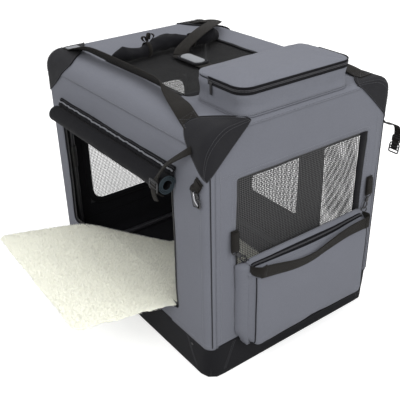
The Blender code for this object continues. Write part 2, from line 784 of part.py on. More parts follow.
def knuckle(side, sx, end, sy, level):
    """Moulded cap on the inner end of half a post. The lower one has two ears and a rivet, the upper one a tongue."""
    up = 1 if level == "upper" else -1
    name = f"{level}_knuckle_{end}_{side}"
    x, y = sx * POST_X, sy * POST_Y
    knuckle_x = sx * KNUCKLE_X
    face = MID_Z + up * CLEAR / 2
    far = MID_Z + up * SLEEVE_L
    cap = rod(name, (x, y, face), (x, y, far), SLEEVE_R, "plastic", f"{level}_{side}")
    web = [
        (knuckle_x + sx * EAR_R, MID_Z),
        (knuckle_x, MID_Z + up * EAR_DROP),
        (x, MID_Z + up * EAR_DROP),
        (x, MID_Z + up * EAR_R),
        (knuckle_x - sx * EAR_R, MID_Z),
    ]
    boss = arc((knuckle_x, MID_Z), EAR_R, 0, 330, 11)
    spans = [(-TONGUE_HALF, TONGUE_HALF)]
    if level == "lower":
        spans = [(TONGUE_HALF + CLEAR, CHEEK_OUT), (-CHEEK_OUT, -TONGUE_HALF - CLEAR)]
    for number, (near, out) in enumerate(spans):
        for label, outline in (("web", web), ("boss", boss)):
            ear = loft(f"{name}_{label}_{number}", [in_y(outline, y + near), in_y(outline, y + out)])
            combine(cap, ear, "UNION")
    bore_start = (x, y, MID_Z + up * (CAP_T + CLEAR))
    bore_end = (x, y, far + up * OVERRUN)
    combine(cap, rod(name + "_bore", bore_start, bore_end, TUBE_R + CLEAR))
    if level == "lower":
        combine(cap, pin(name + "_rivet", knuckle_x, y, MID_Z), "UNION")
    else:
        pin_hole(cap, knuckle_x, y, MID_Z)


def end_hoop(side, sx):
    """Upper half of both posts of one end and the bar that joins them, bent from one tube."""
    x = sx * POST_X
    low = MID_Z + CAP_T + 2 * CLEAR
    y = POST_Y - HOOP_R
    z = BAR_Z - HOOP_R
    bend = [(-POST_Y, low)] + arc((-y, z), HOOP_R, 180, 90, 6) + arc((y, z), HOOP_R, 90, 0, 6) + [(POST_Y, low)]
    tube(f"end_hoop_{side}", [(x, u, v) for u, v in bend], TUBE_R, "tube_steel", "upper_" + side)


def folding_frame():
    for corner in CORNERS:
        lower_post(*corner)
        knuckle(*corner, "lower")
        knuckle(*corner, "upper")
    for side, sx in SIDES:
        end_hoop(side, sx)


def roof_frame():
    """Two rails along the roof, held at each end by a saddle that turns on the hoop's bar."""
    inner = POST_X - SADDLE_R - STUB_WALL
    reach = inner - CLEAR
    for end, sy in (("front", -1), ("back", 1)):
        y = sy * SADDLE_Y
        tube(f"roof_rail_{end}", [(-reach, y, BAR_Z), (reach, y, BAR_Z)], TUBE_R, "tube_steel", "roof")
    for side, sx, end, sy in CORNERS:
        name = f"roof_saddle_{end}_{side}"
        x, y = sx * POST_X, sy * SADDLE_Y
        half = SADDLE_L / 2
        over = half + OVERRUN
        stub_end = x - sx * STUB_L
        saddle = rod(name, (x, y - half, BAR_Z), (x, y + half, BAR_Z), SADDLE_R, "plastic", "roof")
        combine(saddle, rod(name + "_stub", (x, y, BAR_Z), (stub_end, y, BAR_Z), SLEEVE_R), "UNION")
        combine(saddle, rod(name + "_bar_cut", (x, y - over, BAR_Z), (x, y + over, BAR_Z), TUBE_R + CLEAR))
        rail_end = (stub_end - sx * OVERRUN, y, BAR_Z)
        combine(saddle, rod(name + "_rail_cut", (sx * inner, y, BAR_Z), rail_end, TUBE_R + CLEAR))


# Rolled door and flap


def spiral(centre, radius, thickness, pitch, turns, steps):
    """Closed outline of a sheet rolled up on itself, seen from its end."""
    outer, inner = [], []
    for i in range(turns * steps + 1):
        angle = 2 * math.pi * i / steps
        reach = radius - pitch * i / steps
        for line, r in ((outer, reach), (inner, reach - thickness)):
            line.append((centre[0] + r * math.cos(angle), centre[1] + r * math.sin(angle)))
    return outer + inner[::-1]


def rolled_door():
    outline = spiral((ROLL_Y, ROLL_Z), ROLL_R, CLOTH, CLOTH + ROLL_GAP, ROLL_TURNS, 14)
    rings = [in_x(outline, ROLL_LEFT), in_x(outline, ROLL_RIGHT)]
    loft("door_roll", rings, "black_fabric", "base")


def flap_centre(share):
    """Centre line and radius of the rolled roof flap at a share of its length: it sways and swells."""
    (x0, y0), (x1, y1) = ROOF_WINDOW
    swell = 1 - FLAP_SWELL_SHARE + FLAP_SWELL_SHARE * math.cos(4 * math.pi * share)
    taper = min(1.0, FLAP_END_SHARE + FLAP_TAPER_SHARE * min(share, 1 - share))
    radius = FLAP_R * swell * taper
    x = FLAP_X + FLAP_SWAY * math.sin(3 * math.pi * share)
    return Vector((x, y0 + (y1 - y0) * share, HEIGHT + CLEAR + radius)), radius


def rolled_flap():
    rings = []
    for i in range(15):
        centre, radius = flap_centre(i / 14)
        rings.append([(centre.x + u, centre.y, centre.z + v) for u, v in arc((0, 0), radius, 0, 337.5, 15)])
    roll = loft("roof_flap_roll", rings, "black_fabric", "roof")
    centre, radius = flap_centre(FLAP_TIE_SHARE)
    rings = []
    for across in (-FLAP_TIE_W / 2, FLAP_TIE_W / 2):
        outline = arc((0, 0), radius + FLAP_TIE_T, 0, 337.5, 15)
        rings.append([(centre.x + u, centre.y + across, max(centre.z + v, HEIGHT + CLEAR)) for u, v in outline])
    combine(roll, loft("roof_flap_tie", rings), "UNION")


# Roof pouch


def pouch():
    """Zipped bag on the roof: a soft tub, a ring of zip and a crowned lid hinged on its inner long side."""

    def plan(inset, z):
        low = (POUCH_X0 + inset, POUCH_Y0 + inset)
        high = (POUCH_X1 - inset, POUCH_Y1 - inset)
        return in_z(rounded(low, high, POUCH_R - inset), z)

    floor = HEIGHT + CLEAR
    rim = HEIGHT + POUCH_BASE_H
    top = rim + ZIP_H - CLEAR
    tub = [
        plan(0, floor),
        plan(0, rim),
        plan(ZIP_IN, rim),
        plan(ZIP_IN, top),
        plan(ZIP_IN + CLOTH, top),
        plan(ZIP_IN + CLOTH, floor + CLOTH),
    ]
    loft("pouch_base", tub, "grey_fabric", "roof")
    lid = rim + ZIP_H
    shape = [
        plan(CLOTH, lid + LID_H - CLOTH),
        plan(CLOTH, lid),
        plan(0, lid),
        plan(0, lid + LID_H),
        plan(LID_INSET / 2, lid + LID_H + LID_CROWN * LID_CROWN_SHARE),
        plan(LID_INSET, lid + LID_H + LID_CROWN),
    ]
    loft("pouch_lid", shape, "grey_fabric", "pouch_lid")
    slider_y = POUCH_Y0 + ZIP_IN - CLEAR
    bm = bmesh.new()
    low = (PULL_X - SLIDER_L / 2, slider_y - SLIDER_T, rim + ZIP_H / 2 - SLIDER_H / 2)
    high = (PULL_X + SLIDER_L / 2, slider_y, rim + ZIP_H / 2 + SLIDER_H / 2)
    add_block(bm, low, high)
    slider = from_bmesh("pouch_zip_pull", bm, "plastic", "zip_pull")
    tag_low = (PULL_X - PULL_W / 2, slider_y - SLIDER_T, rim + ZIP_H / 2 - PULL_L)
    tag_high = (PULL_X + PULL_W / 2, slider_y - SLIDER_T + PULL_T, rim + ZIP_H / 2)
    combine(slider, block("pouch_zip_pull_tag", tag_low, tag_high), "UNION")


# Side bag


def side_bag():
    """Bag on the +X end: wedge-shaped in section, with a lip along its zip and round lower edges."""
    back = HALF_L + CLEAR
    front = HALF_L + BAG_T

    def section(y, draw):
        """Section at one place along Y, drawn in towards its middle at the ends."""
        low, top = BAG_Z0 + draw, BAG_Z1 - draw / 2
        out = front - draw
        points = [(back, low + BAG_R / 2), (back, top), (back + BAG_LIP / 2, top)]
        points += [(back + BAG_LIP, top - BAG_LIP / 2), (out, top - BAG_LIP * 1.5)]
        points += arc((out - BAG_R, low + BAG_R), BAG_R, 0, -90, 5)
        points += [(back + BAG_R / 2, low)]
        return [(u, y, v) for u, v in points]

    rings = [section(BAG_Y0 + (BAG_Y1 - BAG_Y0) * share, BAG_TAPER * draw) for share, draw in BAG_DRAW_SHARES]
    loft("side_bag", rings, "grey_fabric", "side_bag")
    out = front + CLEAR + WEB_T / 2
    middle_z = BAG_Z1 - BAG_STRAP_W / 2
    knots = []
    for share, sag in BAG_STRAP_SHARES:
        y = BAG_Y0 + BAG_TAPER + (BAG_Y1 - BAG_Y0 - 2 * BAG_TAPER) * share
        knots.append((out, y, middle_z - BAG_STRAP_W * sag))
    path = smooth_path(knots, 4)
    ribbon("side_bag_strap", path, [(0, 0, 1)] * len(path), BAG_STRAP_W, WEB_T, "webbing", "side_bag")
    bag_hangers()


def bag_hangers():
    """Webbing tabs sewn to the end panel, each with the clip that hangs the bag from it."""
    x = HALF_L + CLEAR
    for side, y in (("left", TAB_FRONT_IN - HALF_W), ("right", HALF_W - TAB_BACK_IN)):
        low = (x, y - TAB_W / 2, TAB_LOW - CLIP_H / 2)
        tab = block(f"bag_clip_{side}", low, (x + WEB_T, y + TAB_W / 2, TAB_TOP), "plastic", "base")
        clip_low = (x, y - CLIP_W / 2, TAB_LOW - CLIP_H)
        combine(tab, block(f"bag_clip_{side}_body", clip_low, (x + CLIP_T, y + CLIP_W / 2, TAB_LOW)), "UNION")


# Straps, handles and clips


def handle(name, shares):
    """Webbing sewn to two corner patches, laid over the roof along a smooth curve."""
    places, leans = [], []
    for x, y, lift, lean in shares:
        places.append((HALF_L * x, HALF_W * y, HANDLE_W * lift))
        leans.append((math.radians(lean), 0, 0))
    path = smooth_path(places, 4)
    across = []
    for i, turn in enumerate(smooth_path(leans, 4)):
        ahead = (path[min(i + 1, len(path) - 1)] - path[max(i - 1, 0)]).normalized()
        level = Vector((ahead.y, -ahead.x, 0)).normalized()
        lean = max(0.0, turn.x)
        across.append(level * math.cos(lean) + Vector((0, 0, math.sin(lean))))
        path[i].z += HEIGHT + 3 * CLEAR + PATCH_T + HANDLE_W / 2 * math.sin(lean) + WEB_T / 2
    ribbon(name, path, across, HANDLE_W, WEB_T, "webbing", "roof")


def handle_grip():
    """Fabric pad over the level middle of the back handle."""
    x = HALF_L * (GRIP_ENDS_SHARES[0] + GRIP_ENDS_SHARES[1]) / 2
    y = HALF_W * GRIP_ACROSS_SHARE
    low = HEIGHT + 5 * CLEAR + PATCH_T + WEB_T
    outline = rounded((x - GRIP_L / 2, y - GRIP_W / 2), (x + GRIP_L / 2, y + GRIP_W / 2), GRIP_R, 4)
    loft("handle_grip", [in_z(outline, low), in_z(outline, low + GRIP_T)], "grey_fabric", "roof")


def door_tie():
    """Webbing that drops from the near corner patch and wraps the rolled door, joined to its ladder buckle."""
    seat = ROLL_R + 2 * CLEAR + WEB_T / 2
    y_top = -HALF_W - 9 * CLEAR - PATCH_T - WEB_T / 2
    z_top = SHOULDER_Z
    x_top = HALF_L - EDGE_R - TIE_W
    x_low = ROLL_RIGHT - TIE_W / 2
    rise, reach = z_top - ROLL_Z, y_top - ROLL_Y
    touch = math.degrees(math.atan2(rise, reach) + math.acos(seat / math.hypot(rise, reach)))
    knots = [(x_top, y_top, z_top)]
    for share in TIE_SLANT_SHARES:
        y = y_top + (ROLL_Y + seat * math.cos(math.radians(touch)) - y_top) * share
        z = z_top + (ROLL_Z + seat * math.sin(math.radians(touch)) - z_top) * share
        knots.append((x_top + (x_low - x_top) * share * (2 - share), y, z))
    for u, v in arc((ROLL_Y, ROLL_Z), seat, touch, TIE_WRAP_END, 8):
        knots.append((x_low, u, v))
    path = smooth_path(knots, 2)
    tie = ribbon("door_tie", path, [(1, 0, 0)] * len(path), TIE_W, WEB_T, "webbing", "base")
    y = ROLL_Y - seat + WEB_T / 4
    z = ROLL_Z + BUCKLE_H / 4
    low = (x_low - BUCKLE_W / 2, y - BUCKLE_T, z - BUCKLE_H / 2)
    high = (x_low + BUCKLE_W / 2, y, z + BUCKLE_H / 2)
    combine(tie, block("door_buckle", low, high), "UNION")


def rear_tie():
    """The same kind of tie and buckle on the far side, standing free of the back right corner."""
    outside = HALF_W + 2 * CLEAR + WEB_T / 2
    x = HALF_L - REAR_TIE_IN
    top = HEIGHT - PATCH_Z + TIE_W / 2
    knots = []
    for out, down in REAR_TIE_SHARES:
        knots.append((x, outside + TIE_W * out, top - TIE_W * down))
    path = smooth_path(knots, 4)
    tie = ribbon("rear_tie", path, [(1, 0, 0)] * len(path), TIE_W, WEB_T, "webbing", "base")
    end = path[-1]
    low = (x - BUCKLE_W / 2, end.y - BUCKLE_T / 2, end.z - BUCKLE_H / 2)
    high = (x + BUCKLE_W / 2, end.y + BUCKLE_T / 2, end.z + BUCKLE_H / 2)
    combine(tie, block("rear_buckle", low, high), "UNION")


def hanging_clip():
    """Short tab, wire clip and grey pull that hang as one on the front edge under the near corner patch."""
    y = -HALF_W - CLEAR
    x = HALF_L - EDGE_R - FLAG_W / 2
    top = HEIGHT - PATCH_Z - CLEAR
    low = top - FLAG_H / 2
    clip = block("edge_clip", (x - FLAG_W / 2, y - WEB_T, low), (x + FLAG_W / 2, y, top), "plastic", "base")
    ring_z = low + WIRE_R - RING_R
    centre = Vector((x, y - WIRE_R, ring_z))
    rings = []
    for u, v in arc((0, 0), 1, 0, 337.5, 15):
        out = Vector((u, 0, v))
        rings.append([centre + out * (RING_R + p) + Vector((0, q, 0)) for p, q in arc((0, 0), WIRE_R, 0, 315, 7)])
    bm = bmesh.new()
    rows = [[bm.verts.new(point) for point in ring] for ring in rings]
    for i, row in enumerate(rows):
        after = rows[i - 1]
        for j in range(len(row)):
            bm.faces.new((row[j], after[j], after[j - 1], row[j - 1]))
    ring = from_bmesh("edge_clip_ring", bm, None, None)
    combine(clip, ring, "UNION")
    flag_top = ring_z - RING_R + WIRE_R
    flag = block("edge_clip_flag", (x - FLAG_W / 2, y - FLAG_T, flag_top - FLAG_H), (x + FLAG_W / 2, y, flag_top))
    combine(clip, flag, "UNION")


# Mat


def fleece_mat():
    """Fleece mat drawn out through the door: level outside, bent over the sill, and down to the floor inside."""
    along = Vector((math.sin(MAT_TURN), math.cos(MAT_TURN), 0))
    across = Vector((math.cos(MAT_EDGE_TURN), math.sin(MAT_EDGE_TURN), 0))
    corner = Vector((MAT_LEFT, -HALF_W, 0)) - along * MAT_OUT
    floor = CLOTH + CLEAR
    rise = DOOR_SILL + 3 * CLEAR - floor
    fall = -2 * rise / MAT_LAND - MAT_RISE_SHARE

    def under(y):
        """Height of the underside: nearly level outside, a ramp inside, then flat on the floor."""
        d = y + HALF_W - CLOTH
        bend = math.hypot(d, MAT_BEND) - MAT_BEND
        ramp = rise + (fall - MAT_RISE_SHARE) / 2 * d + (fall + MAT_RISE_SHARE) / 2 * bend
        return floor + (ramp + math.hypot(ramp, MAT_EDGE_T)) / 2

    rings = []
    for share in MAT_LENGTH_SHARES:
        v = MAT_LENGTH * share
        end = min(share, 1 - share)
        draw = MAT_DRAW * max(0.0, 1 - end / MAT_DRAW_SHARE)
        crown = min(1.0, end / MAT_CROWN_SHARE)
        ring_low, ring_high = [], []
        for u in MAT_WIDTH_SHARES:
            spot = corner + along * v + across * (MAT_WIDTH / 2 * (1 + u) + (-u) * draw)
            puff = MAT_EDGE_T + (MAT_T - MAT_EDGE_T) * crown * (1 - abs(u) ** 6)
            ring_low.append((spot.x, spot.y, under(spot.y)))
            ring_high.append((spot.x, spot.y, under(spot.y) + puff))
        rings.append(ring_low + ring_high[::-1])
    loft("fleece_mat", rings, "fleece", "mat")


def main():
    clear_scene()
    make_materials()
    make_bodies()
    base_tray()
    front = long_wall("front_wall", -1)
    cut_long_wall(front, ((DOOR_LEFT, DOOR_SILL), (DOOR_RIGHT, DOOR_TOP)), DOOR_R, -1)
    back = long_wall("back_wall", 1)
    for window in (BACK_WINDOW_A, BACK_WINDOW_B):
        cut_long_wall(back, window, BACK_R, 1)
    end_wall("left_wall", -1, LEFT_WINDOW, ROUND_R)
    end_wall("right_wall", 1, RIGHT_WINDOW, SHARP_R)
    roof_panel()
    nets()
    corner_patches()
    base_frame()
    folding_frame()
    roof_frame()
    rolled_door()
    rolled_flap()
    pouch()
    side_bag()
    handle("front_handle", FRONT_HANDLE_SHARES)
    handle("back_handle", BACK_HANDLE_SHARES)
    handle_grip()
    door_tie()
    rear_tie()
    hanging_clip()
    fleece_mat()


main()
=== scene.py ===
import math
from functools import cache

import bmesh
import bpy
import numpy as np
from bpy.props import FloatProperty, FloatVectorProperty, PointerProperty
from mathutils import Matrix, Vector, noise
from mathutils.geometry import delaunay_2d_cdt


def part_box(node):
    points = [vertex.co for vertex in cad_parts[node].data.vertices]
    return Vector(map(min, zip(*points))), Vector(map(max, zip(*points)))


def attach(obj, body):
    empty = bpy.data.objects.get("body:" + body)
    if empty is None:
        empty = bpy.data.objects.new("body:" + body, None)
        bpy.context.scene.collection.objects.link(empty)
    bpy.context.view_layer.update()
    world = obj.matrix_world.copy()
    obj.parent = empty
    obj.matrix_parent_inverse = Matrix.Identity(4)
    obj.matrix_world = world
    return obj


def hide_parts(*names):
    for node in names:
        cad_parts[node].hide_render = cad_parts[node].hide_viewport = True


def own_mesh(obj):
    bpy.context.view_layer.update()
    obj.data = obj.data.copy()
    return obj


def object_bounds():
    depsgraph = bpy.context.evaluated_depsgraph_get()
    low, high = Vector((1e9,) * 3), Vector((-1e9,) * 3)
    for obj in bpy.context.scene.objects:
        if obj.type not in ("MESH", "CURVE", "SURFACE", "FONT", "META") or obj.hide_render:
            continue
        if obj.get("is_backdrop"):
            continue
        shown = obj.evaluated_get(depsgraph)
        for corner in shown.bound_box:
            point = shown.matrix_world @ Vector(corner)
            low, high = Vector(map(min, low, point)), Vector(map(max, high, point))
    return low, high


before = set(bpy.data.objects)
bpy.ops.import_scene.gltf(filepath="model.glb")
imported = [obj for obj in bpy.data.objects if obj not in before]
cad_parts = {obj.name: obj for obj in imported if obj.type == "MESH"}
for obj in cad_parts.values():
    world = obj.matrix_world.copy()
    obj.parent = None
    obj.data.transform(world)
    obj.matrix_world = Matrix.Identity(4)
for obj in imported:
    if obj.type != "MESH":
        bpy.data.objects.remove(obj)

bl_info = {
    "name": "Soft Crate Outfit",
    "version": (1, 0, 0),
    "blender": (4, 5, 0),
    "location": "3D View > Sidebar > Crate",
    "description": "Cloth cover, nets, bags, webbing and fleece mat for a folding pet crate",
    "category": "Object",
}

CAD_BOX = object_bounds()

# Places of the cover that the frame fixes, in metres
HALF_L, HALF_W, BAND_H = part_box("base_tray")[1]
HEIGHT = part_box("roof_panel")[1].z
EDGE_R = 0.02
FOOT_R = 0.032
SHOULDER_R = 0.042
SHOULDER_Z = HEIGHT - SHOULDER_R
SHOULDER_ARC = SHOULDER_R * math.pi / 2
END_R = 0.012
ROOF_HALF = HALF_W - SHOULDER_R
FLAT_L, FLAT_W = HALF_L - EDGE_R, HALF_W - EDGE_R
CORNERS = tuple((sx, sy) for sx in (-1, 1) for sy in (-1, 1))

# Height of the tray's floor, which the mat comes down to inside the crate
TRAY_FLOOR = 0.0028

# Openings and the pouch: low corner, high corner and corner radius
DOOR = ((-0.27, 0.132), (0.222, 0.451), 0.014)
RIGHT_WINDOW = ((-0.18, 0.13), (0.187, 0.478), 0.006)
LEFT_WINDOW = ((-0.171, 0.134), (0.171, 0.44), 0.04)
BACK_WINDOWS = (((-0.125, 0.115), (0.08, 0.47), 0.02), ((0.15, 0.115), (0.29, 0.47), 0.02))
ROOF_WINDOW = ((-0.17, -0.17), (0.165, 0.13), 0.02)
POUCH = ((0.17, -0.163), (0.322, 0.132), 0.03)
POUCH_FLOOR = HEIGHT + 0.0003
POUCH_RIM = HEIGHT + 0.046
LID_FOOT = POUCH_RIM + 0.0062

ROLL_R = 0.0215
ROLL_Y = -HALF_W - 0.0003 - ROLL_R
ROLL_Z = 0.455
ROLL_ENDS = (-0.252, 0.232)

PATCH_REACH = {1: 0.082, -1: 0.125}
PATCH_Y = 0.108
PATCH_Z = 0.102

BAG_ENDS = (-0.168, 0.192)
BAG_Z = (0.07, 0.288)
BAG_BACK = HALF_L + 0.0006
BAG_FRONT = HALF_L + 0.044

MAT = {"out": 0.215, "left": -0.253, "width": 0.46, "length": 0.64, "sill": 0.132, "land": 0.5}

HANDLE_W = 0.036
TIE_W = 0.018
HALF_WEB = 0.0011
GRIP = (0.085, 0.044)

# Lift of thread over the cloth that it is sewn to
THREAD_LIFT = 0.0004


def length(name, text, default, low=0.001):
    return FloatProperty(name=name, description=text, default=default, min=low, unit="LENGTH")


class CrateSizes(bpy.types.PropertyGroup):
    """Sizes of the sewn details."""

    cloth: length("Cloth thickness", "Thickness of the cover's cloth", 0.002, 0.0005)
    web: length("Webbing thickness", "Thickness of handles and ties", 0.0022, 0.0005)
    stitch: length("Stitch length", "Length of one stitch", 0.003)
    stitch_gap: length("Stitch gap", "Spacing from one stitch to the next", 0.0042)
    tooth: length("Zip tooth pitch", "Spacing of the zip teeth", 0.0026)
    net_cell: length("Net cell", "Size of one opening of the net", 0.0044)
    net_open: FloatProperty(
        name="Net openness", description="Share of each cell that is open", default=0.64, min=0.1, max=0.95,
        subtype="FACTOR",
    )
    pile: length("Fleece pile", "Length of the fleece fibres", 0.0052, 0.0)
    pile_density: FloatProperty(
        name="Pile density", description="Fibres on a square metre", default=110000.0, min=0.0
    )


def tone(red, green, blue):
    """Linear colour of a written one."""
    parts = [part / 255 for part in (red, green, blue)]
    return [part / 12.92 if part <= 0.04 else ((part + 0.055) / 1.055) ** 2.4 for part in parts]


def shade(name, text, *colour):
    return FloatVectorProperty(
        name=name, description=text, default=tone(*colour), size=3, min=0.0, max=1.0, subtype="COLOR"
    )


class CrateColours(bpy.types.PropertyGroup):
    """Colours of the finishes."""

    grey: shade("Grey cloth", "Outside of the cover", 111, 113, 121)
    tab: shade("Tab cloth", "Pale pads on the handles", 138, 140, 144)
    flag: shade("Flag cloth", "Tab of the clip on the near edge", 98, 99, 103)
    lining: shade("Lining", "Inside of the cover and the tray", 24, 24, 27)
    patch: shade("Patch cloth", "Corner patches", 36, 36, 39)
    webbing: shade("Webbing", "Handles and ties", 35, 33, 31)
    binding: shade("Binding", "Bound edges of the rolled door", 58, 68, 74)
    net: shade("Net", "Mesh of the windows", 66, 66, 67)
    dark_net: shade("Roof net", "Mesh of the roof", 20, 20, 22)
    fleece: shade("Fleece", "Mat", 254, 254, 240)
    # The thread colour also paints the highlight on the teeth of the zip above the door
    thread: shade("Thread", "Stitches on the grey cloth", 132, 134, 140)
    dark_thread: shade("Dark thread", "Stitches on the black cloth", 72, 72, 76)
    plastic: shade("Moulding", "Frame fittings and buckles", 30, 30, 32)
    steel: shade("Tube", "Painted steel tube", 62, 62, 66)
    # The wire's pale metal lies along the front of the near edge's dark hook: a painted highlight
    wire: shade("Wire", "Gate of the clip on the near edge", 176, 176, 180)


# Node helpers


def feed(tree, node, inputs):
    """Fills a node's inputs by name or number: a node or a socket is linked, and anything else is a value."""
    for key, value in inputs.items():
        if isinstance(value, bpy.types.Node):
            value = value.outputs[0]
        if isinstance(value, bpy.types.NodeSocket):
            tree.links.new(value, node.inputs[key])
        else:
            node.inputs[key].default_value = value


def add_node(tree, kind, inputs=None, **settings):
    node = tree.nodes.new(kind)
    for key, value in settings.items():
        setattr(node, key, value)
    feed(tree, node, inputs or {})
    return node


def maths(tree, operation, *values):
    return add_node(tree, "ShaderNodeMath", dict(enumerate(values)), operation=operation).outputs[0]


def stretched(tree, value, factor, shift):
    """A value times a factor, plus a shift."""
    return maths(tree, "ADD", maths(tree, "MULTIPLY", value, factor), shift)


def blended(tree, share, first, second):
    return add_node(tree, "ShaderNodeMix", {0: share, 2: first, 3: second}, data_type="FLOAT").outputs[0]


def noise_node(tree, point, scale, detail=2.0, roughness=0.5):
    inputs = {"Vector": point, "Scale": scale, "Detail": detail, "Roughness": roughness}
    return add_node(tree, "ShaderNodeTexNoise", inputs).outputs[0]


def node_group(name, kind, inputs, outputs):
    """A new group of nodes, the sockets that it is given, and the node that takes its results."""
    group = bpy.data.node_groups.new(name, kind)
    for label, socket_kind, value in inputs:
        socket = group.interface.new_socket(label, in_out="INPUT", socket_type="NodeSocket" + socket_kind)
        if value is not None:
            socket.default_value = value
    for label, socket_kind in outputs:
        group.interface.new_socket(label, in_out="OUTPUT", socket_type="NodeSocket" + socket_kind)
    return group, group.nodes.new("NodeGroupInput").outputs, group.nodes.new("NodeGroupOutput")


# Shader groups and finishes


def shader_group(name, inputs, outputs):
    return node_group(name, "ShaderNodeTree", inputs, outputs)


@cache
def facing_plane_group():
    """Turns a point on a surface into flat coordinates on the plane that the surface faces most."""
    group, given, leave = shader_group("Facing plane", [("Point", "Vector", None)], [("Plane", "Vector")])
    normal = add_node(group, "ShaderNodeNewGeometry").outputs["Normal"]
    size = add_node(group, "ShaderNodeVectorMath", {0: normal}, operation="ABSOLUTE")
    x, y, z = add_node(group, "ShaderNodeSeparateXYZ", {0: size}).outputs
    is_z = maths(group, "GREATER_THAN", z, maths(group, "MAXIMUM", x, y))
    is_x = maths(group, "MULTIPLY", maths(group, "GREATER_THAN", x, y), maths(group, "SUBTRACT", 1.0, is_z))
    u, v, w = add_node(group, "ShaderNodeSeparateXYZ", {0: given["Point"]}).outputs
    flat = {0: blended(group, is_x, u, v), 1: blended(group, is_z, w, v)}
    feed(group, leave, {"Plane": add_node(group, "ShaderNodeCombineXYZ", flat)})
    return group


@cache
def weave_group():
    """Plain weave: rounded threads that pass over and under each other."""
    inputs = [("Plane", "Vector", None), ("Thread", "Float", 0.001)]
    group, given, leave = shader_group("Plain weave", inputs, [("Height", "Float"), ("Shade", "Float")])
    scale = {0: given["Plane"], "Scale": maths(group, "DIVIDE", 1.0, given["Thread"])}
    count = add_node(group, "ShaderNodeVectorMath", scale, operation="SCALE")
    part = add_node(group, "ShaderNodeSeparateXYZ", {0: count}).outputs
    turns = [maths(group, "SINE", maths(group, "MULTIPLY", way, math.pi)) for way in part[:2]]
    warp, weft = (maths(group, "ABSOLUTE", turn) for turn in turns)
    over = add_node(group, "ShaderNodeTexChecker", {"Vector": count, "Scale": 1.0})
    pick = blended(group, over.outputs["Fac"], warp, weft)
    slub = noise_node(group, count, 0.35)
    feed(group, leave, {
        "Height": maths(group, "ADD", pick, slub), "Shade": maths(group, "MULTIPLY", pick, slub),
    })
    return group


@cache
def wear_group():
    """Broad unevenness of colour and gloss: handling marks, dust and fading."""
    inputs = [("Point", "Vector", None), ("Patch", "Float", 0.1), ("Strength", "Float", 0.1)]
    group, given, leave = shader_group("Handling wear", inputs, [("Tint", "Float"), ("Mask", "Float")])
    scale = maths(group, "DIVIDE", 1.0, given["Patch"])
    broad = noise_node(group, given["Point"], scale, 4.0, 0.6)
    fine = noise_node(group, given["Point"], maths(group, "MULTIPLY", scale, 14.0))
    mixed = maths(group, "ADD", maths(group, "MULTIPLY", broad, 0.7), maths(group, "MULTIPLY", fine, 0.3))
    centred = maths(group, "SUBTRACT", mixed, 0.5)
    feed(group, leave, {"Tint": stretched(group, centred, given["Strength"], 1.0), "Mask": mixed})
    return group


def group_node(tree, group, **inputs):
    return add_node(tree, "ShaderNodeGroup", inputs, node_tree=group).outputs


def tinted(tree, colour, *factors):
    """A colour multiplied by factors that change over the surface."""
    node = add_node(tree, "ShaderNodeRGB")
    node.outputs[0].default_value = (*colour, 1.0)
    for factor in factors:
        node = add_node(tree, "ShaderNodeVectorMath", {0: node, "Scale": factor}, operation="SCALE")
    return node


def worn_finish(name, colour, wear, rough, surface, values):
    """A finish under its marks of wear. wear is their size and strength, and rough the spread and the least
    value of the roughness. surface(tree, spot) gives the height, strength and depth of the relief, and factors
    of the colour."""
    material = bpy.data.materials.new(name)
    material.use_nodes = True
    tree = material.node_tree
    spot = add_node(tree, "ShaderNodeTexCoord").outputs
    marks = group_node(tree, wear_group(), Point=spot["Object"], Patch=wear[0], Strength=wear[1])
    height, strength, depth, *factors = surface(tree, spot)
    relief = add_node(tree, "ShaderNodeBump", {"Strength": strength, "Distance": depth, "Height": height})
    colours = tinted(tree, colour, marks["Tint"], *factors)
    roughness = stretched(tree, marks["Mask"], *rough)
    built = {"Base Color": colours, "Roughness": roughness, "Normal": relief}
    feed(tree, tree.nodes["Principled BSDF"], built | values)
    return material


def cloth_finish(name, colour, thread=0.0011, depth=0.25, wear=0.16, on_uv=False, sheen=0.03):
    """Woven cloth or webbing: weave, slubs, soft mottling and a faint sheen."""

    def surface(tree, spot):
        plane = spot["UV"] if on_uv else group_node(tree, facing_plane_group(), Point=spot["Object"])["Plane"]
        weave = group_node(tree, weave_group(), Plane=plane, Thread=thread)
        return weave["Height"], depth, thread * 0.4, stretched(tree, weave["Shade"], 0.34, 0.88)

    values = {"Sheen Weight": sheen, "Sheen Roughness": 0.5, "Specular IOR Level": 0.1}
    return worn_finish(name, colour, (0.09, wear), (0.16, 0.78), surface, values)


def fleece_finish(name, colour):
    """Brushed fleece: clumped pile with soft shadows between the clumps."""

    def surface(tree, spot):
        clump = noise_node(tree, spot["Object"], 210.0, 5.0, 0.7)
        return clump, 0.6, 0.002, stretched(tree, clump, 0.2, 0.9)

    values = {"Sheen Weight": 0.6, "Specular IOR Level": 0.15}
    return worn_finish(name, colour, (0.12, 0.08), (0.1, 0.88), surface, values)


def hard_finish(name, colour, roughness, metallic=0.0, grain=0.0004, coat=0.0):
    """Moulded plastic, yarn or painted tube: fine grain, handling marks and uneven gloss."""

    def surface(tree, spot):
        return noise_node(tree, spot["Object"], 1.0 / grain), 0.12, grain

    values = {"Metallic": metallic, "Coat Weight": coat}
    return worn_finish(name, colour, (0.03, 0.25), (0.24, roughness - 0.12), surface, values)


FINISHES = {}


